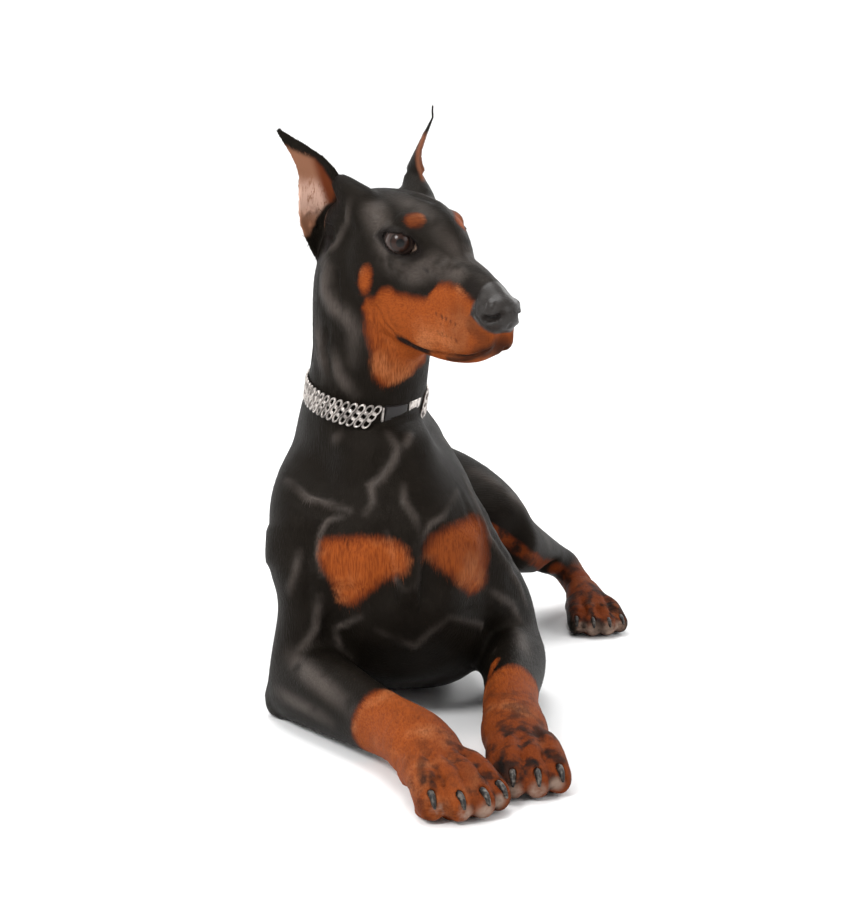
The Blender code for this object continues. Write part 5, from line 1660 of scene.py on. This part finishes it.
# %% [markdown]
# ## The collar
#
# The collar is a chain of small steel links in three rows side by side, and a black clasp
# closes it. Each link could be bent and hooked through the next, which hardly shows at this
# size. Instead one link is modelled, as a thin ring pressed oval, and set again and again along
# the band, leaned over and lapped like the links of a curb chain.

# %% One link, and the collar's band
LINK_PITCH = 0.84
LINK_LONG = 0.56
LINK_WIDE = 0.31
WIRE = 0.165
LINK_LEAN = math.radians(56)
LINK_ROLL = math.radians(14)
COLLAR_HALF_ACROSS = 6.45
COLLAR_HALF_AHEAD = 8.25
COLLAR_WIDTH = 2.35
CLASP_FROM = math.radians(18)
CLASP_TO = math.radians(60)
CHAIN_FROM = CLASP_TO + 0.28
CHAIN_TO = CLASP_FROM + 2 * math.pi - 0.04
CHAIN_ROWS = 3
ROW_RISE = COLLAR_WIDTH / 3.1
ROW_SHIFT = 0.55
LINK_OUT = 0.17
LINK_STEPS = 14
WIRE_SIDES = 7


def collar_frame(turn, out, rise):
    """Place and axes on the band: along it, up it and outwards."""
    place = (COLLAR_AT
             + COLLAR_ACROSS * math.sin(turn) * (COLLAR_HALF_ACROSS + out) * CM
             + COLLAR_AHEAD * math.cos(turn) * (COLLAR_HALF_AHEAD + out) * CM
             + COLLAR_UP * rise * CM)
    along = (COLLAR_ACROSS * math.cos(turn) * COLLAR_HALF_ACROSS
             - COLLAR_AHEAD * math.sin(turn) * COLLAR_HALF_AHEAD).normalized()
    outward = along.cross(COLLAR_UP).normalized() * -1
    return place, along, COLLAR_UP, outward


def add_link(bm, place, along, up, outward):
    """One oval ring of wire."""
    start = len(bm.verts)
    ring = bmesh.ops.create_circle(bm, cap_ends=False, segments=WIRE_SIDES, radius=WIRE * CM,
                                   matrix=Matrix.Translation((LINK_LONG * CM, 0, 0))
                                   @ Matrix.Rotation(math.pi / 2, 4, "X"))["verts"]
    edges = list({e for v in ring for e in v.link_edges})
    bmesh.ops.spin(bm, geom=ring + edges, axis=(0, 0, 1), cent=(0, 0, 0), angle=2 * math.pi,
                   steps=LINK_STEPS, use_merge=True)
    bm.verts.ensure_lookup_table()
    made = bm.verts[start:]
    axes = Matrix([along, up, outward]).transposed().to_4x4()
    squeeze = Matrix.Diagonal((1, LINK_WIDE / LINK_LONG, 1, 1))
    turn = Matrix.Rotation(LINK_LEAN, 4, "Z") @ Matrix.Rotation(LINK_ROLL, 4, "X")
    bmesh.ops.transform(bm, matrix=Matrix.Translation(place) @ axes @ turn @ squeeze, verts=made)


bm = bmesh.new()
turn = CHAIN_FROM
links = 0
while turn < CHAIN_TO:
    speed = math.hypot(math.cos(turn) * COLLAR_HALF_ACROSS, math.sin(turn) * COLLAR_HALF_AHEAD)
    for row in range(CHAIN_ROWS):
        level = row - CHAIN_ROWS // 2
        shift = level * LINK_PITCH * ROW_SHIFT / speed
        place, along, up, outward = collar_frame(turn + shift, LINK_OUT, ROW_RISE * level)
        add_link(bm, place, along, up, outward)
        links += 1
    turn += LINK_PITCH / speed
bmesh.ops.recalc_face_normals(bm, faces=bm.faces)
chain = linked("chain_links", bm)
print("links", links, "faces", len(chain.data.polygons))

# %% Steel for the links
STEEL_BRIGHT = (0.50, 0.46, 0.43, 1)
STEEL_GRIMY = (0.22, 0.20, 0.185, 1)


def steel_material():
    """Polished steel, duller and darker where grime sits."""
    made, tree, shader = new_material("link_steel", {"Metallic": 1.0})
    grime = smooth_step(tree, noise(tree, own_places(tree), 140, 4.0), 0.42, 0.62)
    tree.links.new(blend(tree, grime, STEEL_BRIGHT, STEEL_GRIMY), shader.inputs["Base Color"])
    tree.links.new(plus(tree, 0.32, times(tree, grime, 0.2)), shader.inputs["Roughness"])
    return made


steel = steel_material()
chain.data.materials.append(steel)
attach(chain, "root")
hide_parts("collar_chain")
print("chain finished with", steel.name)

# %% The clasp: a steel bar, a black block, a steel plate and a bar at the far end
CLASP_LIFT = 0.02
CLASP_EDGE = 0.0011
CLASP_BLACK = (0.011, 0.009, 0.009, 1)
CLASP_PARTS = (
    # name, start and end share of the clasp's arc, lean, how far out, half height
    ("clasp_bar", 0.0, 0.06, 0.0, 0.36, 1.0),
    ("clasp_body", 0.09, 0.66, 0.02, 0.62, 1.08),
    ("clasp_plate", 0.71, 1.20, 0.07, 0.52, 1.2),
    ("clasp_end_bar", 1.28, 1.35, 0.0, 0.36, 1.0),
)


def clasp_part(name, start, end, lean, out, half):
    """A bent block along the band, with rounded edges."""
    bm = bmesh.new()
    bmesh.ops.create_grid(bm, x_segments=8, y_segments=1, size=1)
    lift = bmesh.ops.extrude_face_region(bm, geom=bm.faces[:])["geom"]
    top = [v for v in lift if isinstance(v, bmesh.types.BMVert)]
    bmesh.ops.translate(bm, vec=(0, 0, 1), verts=top)
    for vert in bm.verts:
        share = start + (end - start) * (vert.co.x + 1) / 2 + lean * vert.co.y
        turn = CLASP_FROM + (CLASP_TO - CLASP_FROM) * share
        place, _, up, outward = collar_frame(turn, 0, 0)
        depth = CLASP_LIFT + out * vert.co.z
        vert.co = place + outward * depth * CM + up * half * vert.co.y * CM
    bmesh.ops.recalc_face_normals(bm, faces=bm.faces)
    sharp = [e for e in bm.edges if e.calc_face_angle(0) > 1.0]
    bmesh.ops.bevel(bm, geom=sharp, offset=CLASP_EDGE, offset_type="OFFSET", segments=3,
                    profile=0.5, affect="EDGES", material=-1)
    return linked(name, bm)


def plastic_material():
    """Black moulded plastic with a fine grain."""
    made, tree, shader = new_material("clasp_plastic", {
        "Base Color": CLASP_BLACK, "Specular IOR Level": 0.3})
    where = own_places(tree)
    rough = plus(tree, 0.34, times(tree, noise(tree, where, 300), 0.25))
    tree.links.new(rough, shader.inputs["Roughness"])
    tree.links.new(bumped(tree, noise(tree, where, 1800), 0.2, 0.0002), shader.inputs["Normal"])
    return made


plastic = plastic_material()
for name, start, end, lean, out, half in CLASP_PARTS:
    part = clasp_part(name, start, end, lean, out, half)
    metal = name != "clasp_body"
    part.data.materials.append(steel if metal else plastic)
    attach(part, "root")
    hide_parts("collar_clasp")
print("clasp parts", len(CLASP_PARTS))

# %% [markdown]
# ## Tufts
#
# The coat is short and flat, so bump does most of the work. Where it breaks the outline, at the
# throat, the folds of the chest, the elbows, the backs of the thighs and the tail, real hair
# stands a little proud. A particle system could grow it, but thousands of curves don't leave
# Blender as a mesh. Instead the script scatters thin, bent, closed tufts that lie along the
# hair, with fewer elsewhere. Their colours come from the same fields, read at their roots.

# %% Where tufts grow
TUFT_EDGES = (
    # reach and path of places where hair breaks the form
    (3.0, ((-3.0, -18.2, 44.0), (-2.6, -18.4, 38.6))),
    (3.0, ((-11.0, -17.4, 25.6), (-6.0, -21.0, 23.2))),
    (3.0, ((1.4, -23.0, 22.0), (1.2, -22.4, 10.0))),
    (3.0, ((7.4, -13.6, 26.4), (9.7, -17.0, 21.0), (13.6, -12.2, 13.2))),
    (4.0, ((-13.0, -14.0, 4.0), (-12.6, -12.0, 2.0))),
    (4.0, ((14.0, -4.0, 4.0), (13.6, -2.0, 2.0))),
    (5.0, ((-6.0, 45.5, 14.0), (2.0, 43.0, 12.0), (-10.0, 42.0, 8.0))),
    (3.0, ((-6.1, 46.2, 20.0), (-6.5, 53.0, 20.4))),
    (3.5, ((9.4, 13.6, 15.0), (12.0, 15.0, 8.0))),
)


def edge_share(places):
    """How much a place is where hair breaks the form."""
    share = np.zeros(len(places))
    for reach, path in TUFT_EDGES:
        share = np.maximum(share, 1 - ramp(near(places, path)[0], reach * 0.4, reach))
    return share


# %% The unwrap of each skin, which the tufts take their patches from
def unwrap(piece):
    """Lays a skin out flat, in a map named OFBake."""
    piece.data.uv_layers.new(name="OFBake")
    bpy.ops.object.select_all(action="DESELECT")
    piece.select_set(True)
    bpy.context.view_layer.objects.active = piece
    bpy.ops.object.mode_set(mode="EDIT")
    bpy.ops.mesh.select_all(action="SELECT")
    bpy.ops.uv.smart_project(angle_limit=math.radians(66), island_margin=0.002)
    bpy.ops.object.mode_set(mode="OBJECT")


for skin in (head_skin, body_skin):
    unwrap(skin)
    print(skin.name, "unwrapped")

# %% Roots of the tufts
SPARSE = 0.5
DENSER = 1.5
COLLAR_CLEAR = 1.9
COLLAR_NEAR = 10
FLOOR_CLEAR = 0.004


def triangle_rows(mesh, what):
    """The vertices or the loops of a mesh's triangles, one row each."""
    found = np.empty(len(mesh.loop_triangles) * 3, dtype=np.int64)
    mesh.loop_triangles.foreach_get(what, found)
    return found.reshape(-1, 3)


def roots_on(skin, count, rng):
    """Random root places on a skin, more of them where hair breaks the form."""
    mesh = skin.data
    mesh.calc_loop_triangles()
    corners = triangle_rows(mesh, "vertices")
    loops = triangle_rows(mesh, "loops")
    places = places_of(skin)
    a, b, c = (places[corners[:, k]] for k in range(3))
    area = np.linalg.norm(np.cross(b - a, c - a), axis=1)
    middle = (a + b + c) / 3
    want = area * (SPARSE + DENSER * edge_share(middle))
    # few on the nose leather, and none in the eyes, under the collar or on the floor
    if skin is head_skin:
        ahead = to_head(middle)[:, 0]
        want *= 1 - 0.95 * ramp(ahead, 9.8, 10.6)
        for side in (-1, 1):
            want *= in_eye(middle, side)[1] > 1.5
    offset = (middle - np.array(COLLAR_AT)) @ np.array(COLLAR_UP) / CM
    around = np.linalg.norm(middle - np.array(COLLAR_AT), axis=1) / CM < COLLAR_NEAR
    want *= 1 - (around & (np.abs(offset) < COLLAR_CLEAR))
    want *= middle[:, 2] > FLOOR_CLEAR
    chosen = rng.choice(len(want), size=count, p=want / want.sum())
    split = rng.dirichlet((1, 1, 1), size=count)
    root = np.einsum("ij,ijk->ik", split, places[corners[chosen]])
    normal = np.einsum("ij,ijk->ik", split, normals_of(skin)[corners[chosen]])
    normal /= np.linalg.norm(normal, axis=1)[:, None]
    uv = np.empty(len(mesh.loops) * 2)
    mesh.uv_layers["OFBake"].data.foreach_get("uv", uv)
    spot = np.einsum("ij,ijk->ik", split, uv.reshape(-1, 2)[loops[chosen]])
    return root, normal, spot


# %% Grow the tufts
TUFT_ROOT = 0.0003
TUFT_SUNK = 0.0003
TUFT_LOWEST = 0.0005
TUFT_PATCH = 0.003
TUFT_SEED = 11
TUFT_RINGS = (
    # share of the tuft's length, and of its root's width
    (0.0, 1.0),
    (0.5, 0.8),
)
TUFT_FACES = np.array((
    # a root triangle (0 to 2) and a middle one (3 to 5), walls between them, and the tip (6)
    (1, 2, 0), (4, 1, 0), (3, 4, 0), (5, 2, 1), (4, 5, 1), (3, 0, 2), (5, 3, 2),
    (6, 4, 3), (6, 5, 4), (6, 3, 5),
))
TUFT_CORNERS = 7
TUFT_FLAT = np.array((
    # where the corners lie on the tuft's patch of the unwrap
    (0, 0), (1, 0), (0.5, 0.3), (0.1, 0.5), (0.9, 0.5), (0.5, 0.8), (0.5, 1),
))
TUFTS = (
    # skin, how many, and their length in cm
    (head_skin, 14000, 0.5),
    (body_skin, 18000, 0.95),
)


def grow_tufts(skin, count, length, seed):
    """Closed bent tufts: a root triangle, a middle triangle and a tip."""
    rng = np.random.default_rng(seed)
    root, normal, spot = roots_on(skin, count, rng)
    lie = lie_of(root, normal)
    side = np.cross(lie, normal)
    lie += side * rng.normal(0, 0.1, count)[:, None]
    long = length * CM * rng.uniform(0.6, 1.25, count)
    if skin is body_skin:
        paws = np.zeros(count)
        for line, reach in PAW_LINES:
            paws = np.maximum(paws, 1 - ramp(near(root, line)[0], reach * 0.8, reach * 1.2))
        long *= 1 - 0.6 * paws
    wide = TUFT_ROOT * rng.uniform(0.7, 1.3, count)
    stand = rng.uniform(0.005, 0.03, count)
    corners = []
    for step, (share, thick) in enumerate(TUFT_RINGS):
        spine = root + lie * (long * share)[:, None]
        spine += normal * ((stand * long) * share - TUFT_SUNK * (step == 0))[:, None]
        for across, rise in ((-1, 0), (1, 0), (0, 0.4)):
            corners.append(spine + side * (wide * thick * across)[:, None]
                           + normal * (wide * thick * rise)[:, None])
    corners.append(root + lie * long[:, None] + normal * (stand * long * 0.7)[:, None])
    places = np.stack(corners, axis=1).reshape(-1, 3)
    places[:, 2] = np.maximum(places[:, 2], TUFT_LOWEST)
    starts = TUFT_CORNERS * np.arange(count)
    faces = (TUFT_FACES[None] + starts[:, None, None]).reshape(-1, 3)
    mesh = bpy.data.meshes.new("tufts_" + skin.name[5:])
    mesh.from_pydata(places.tolist(), [], faces.tolist())
    tufts = bpy.data.objects.new(mesh.name, mesh)
    scene.collection.objects.link(tufts)
    mesh.shade_smooth()
    # a tuft takes the light as the skin at its root does
    mesh.normals_split_custom_set_from_vertices(
        np.repeat(normal, TUFT_CORNERS, axis=0).tolist())
    values = fields_of(root, normal, skin is head_skin)
    for name, value in values.items():
        keep_field(tufts, name, np.repeat(value, TUFT_CORNERS))
    keep_lie(tufts, np.repeat(lie, TUFT_CORNERS, axis=0))
    flat = spot[:, None] + (TUFT_FLAT - 0.5)[None] * TUFT_PATCH
    corner_uv = flat.reshape(-1, 2)[faces.ravel()]
    mesh.uv_layers.new(name="OFBake").data.foreach_set("uv", corner_uv.ravel())
    return tufts


for number, (skin, count, length) in enumerate(TUFTS):
    tufts = grow_tufts(skin, count, length, TUFT_SEED + number)
    tufts.data.materials.append(skin_coat)
    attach(tufts, "root")
    print(tufts.name, "tufts", count, "triangles", len(tufts.data.polygons))
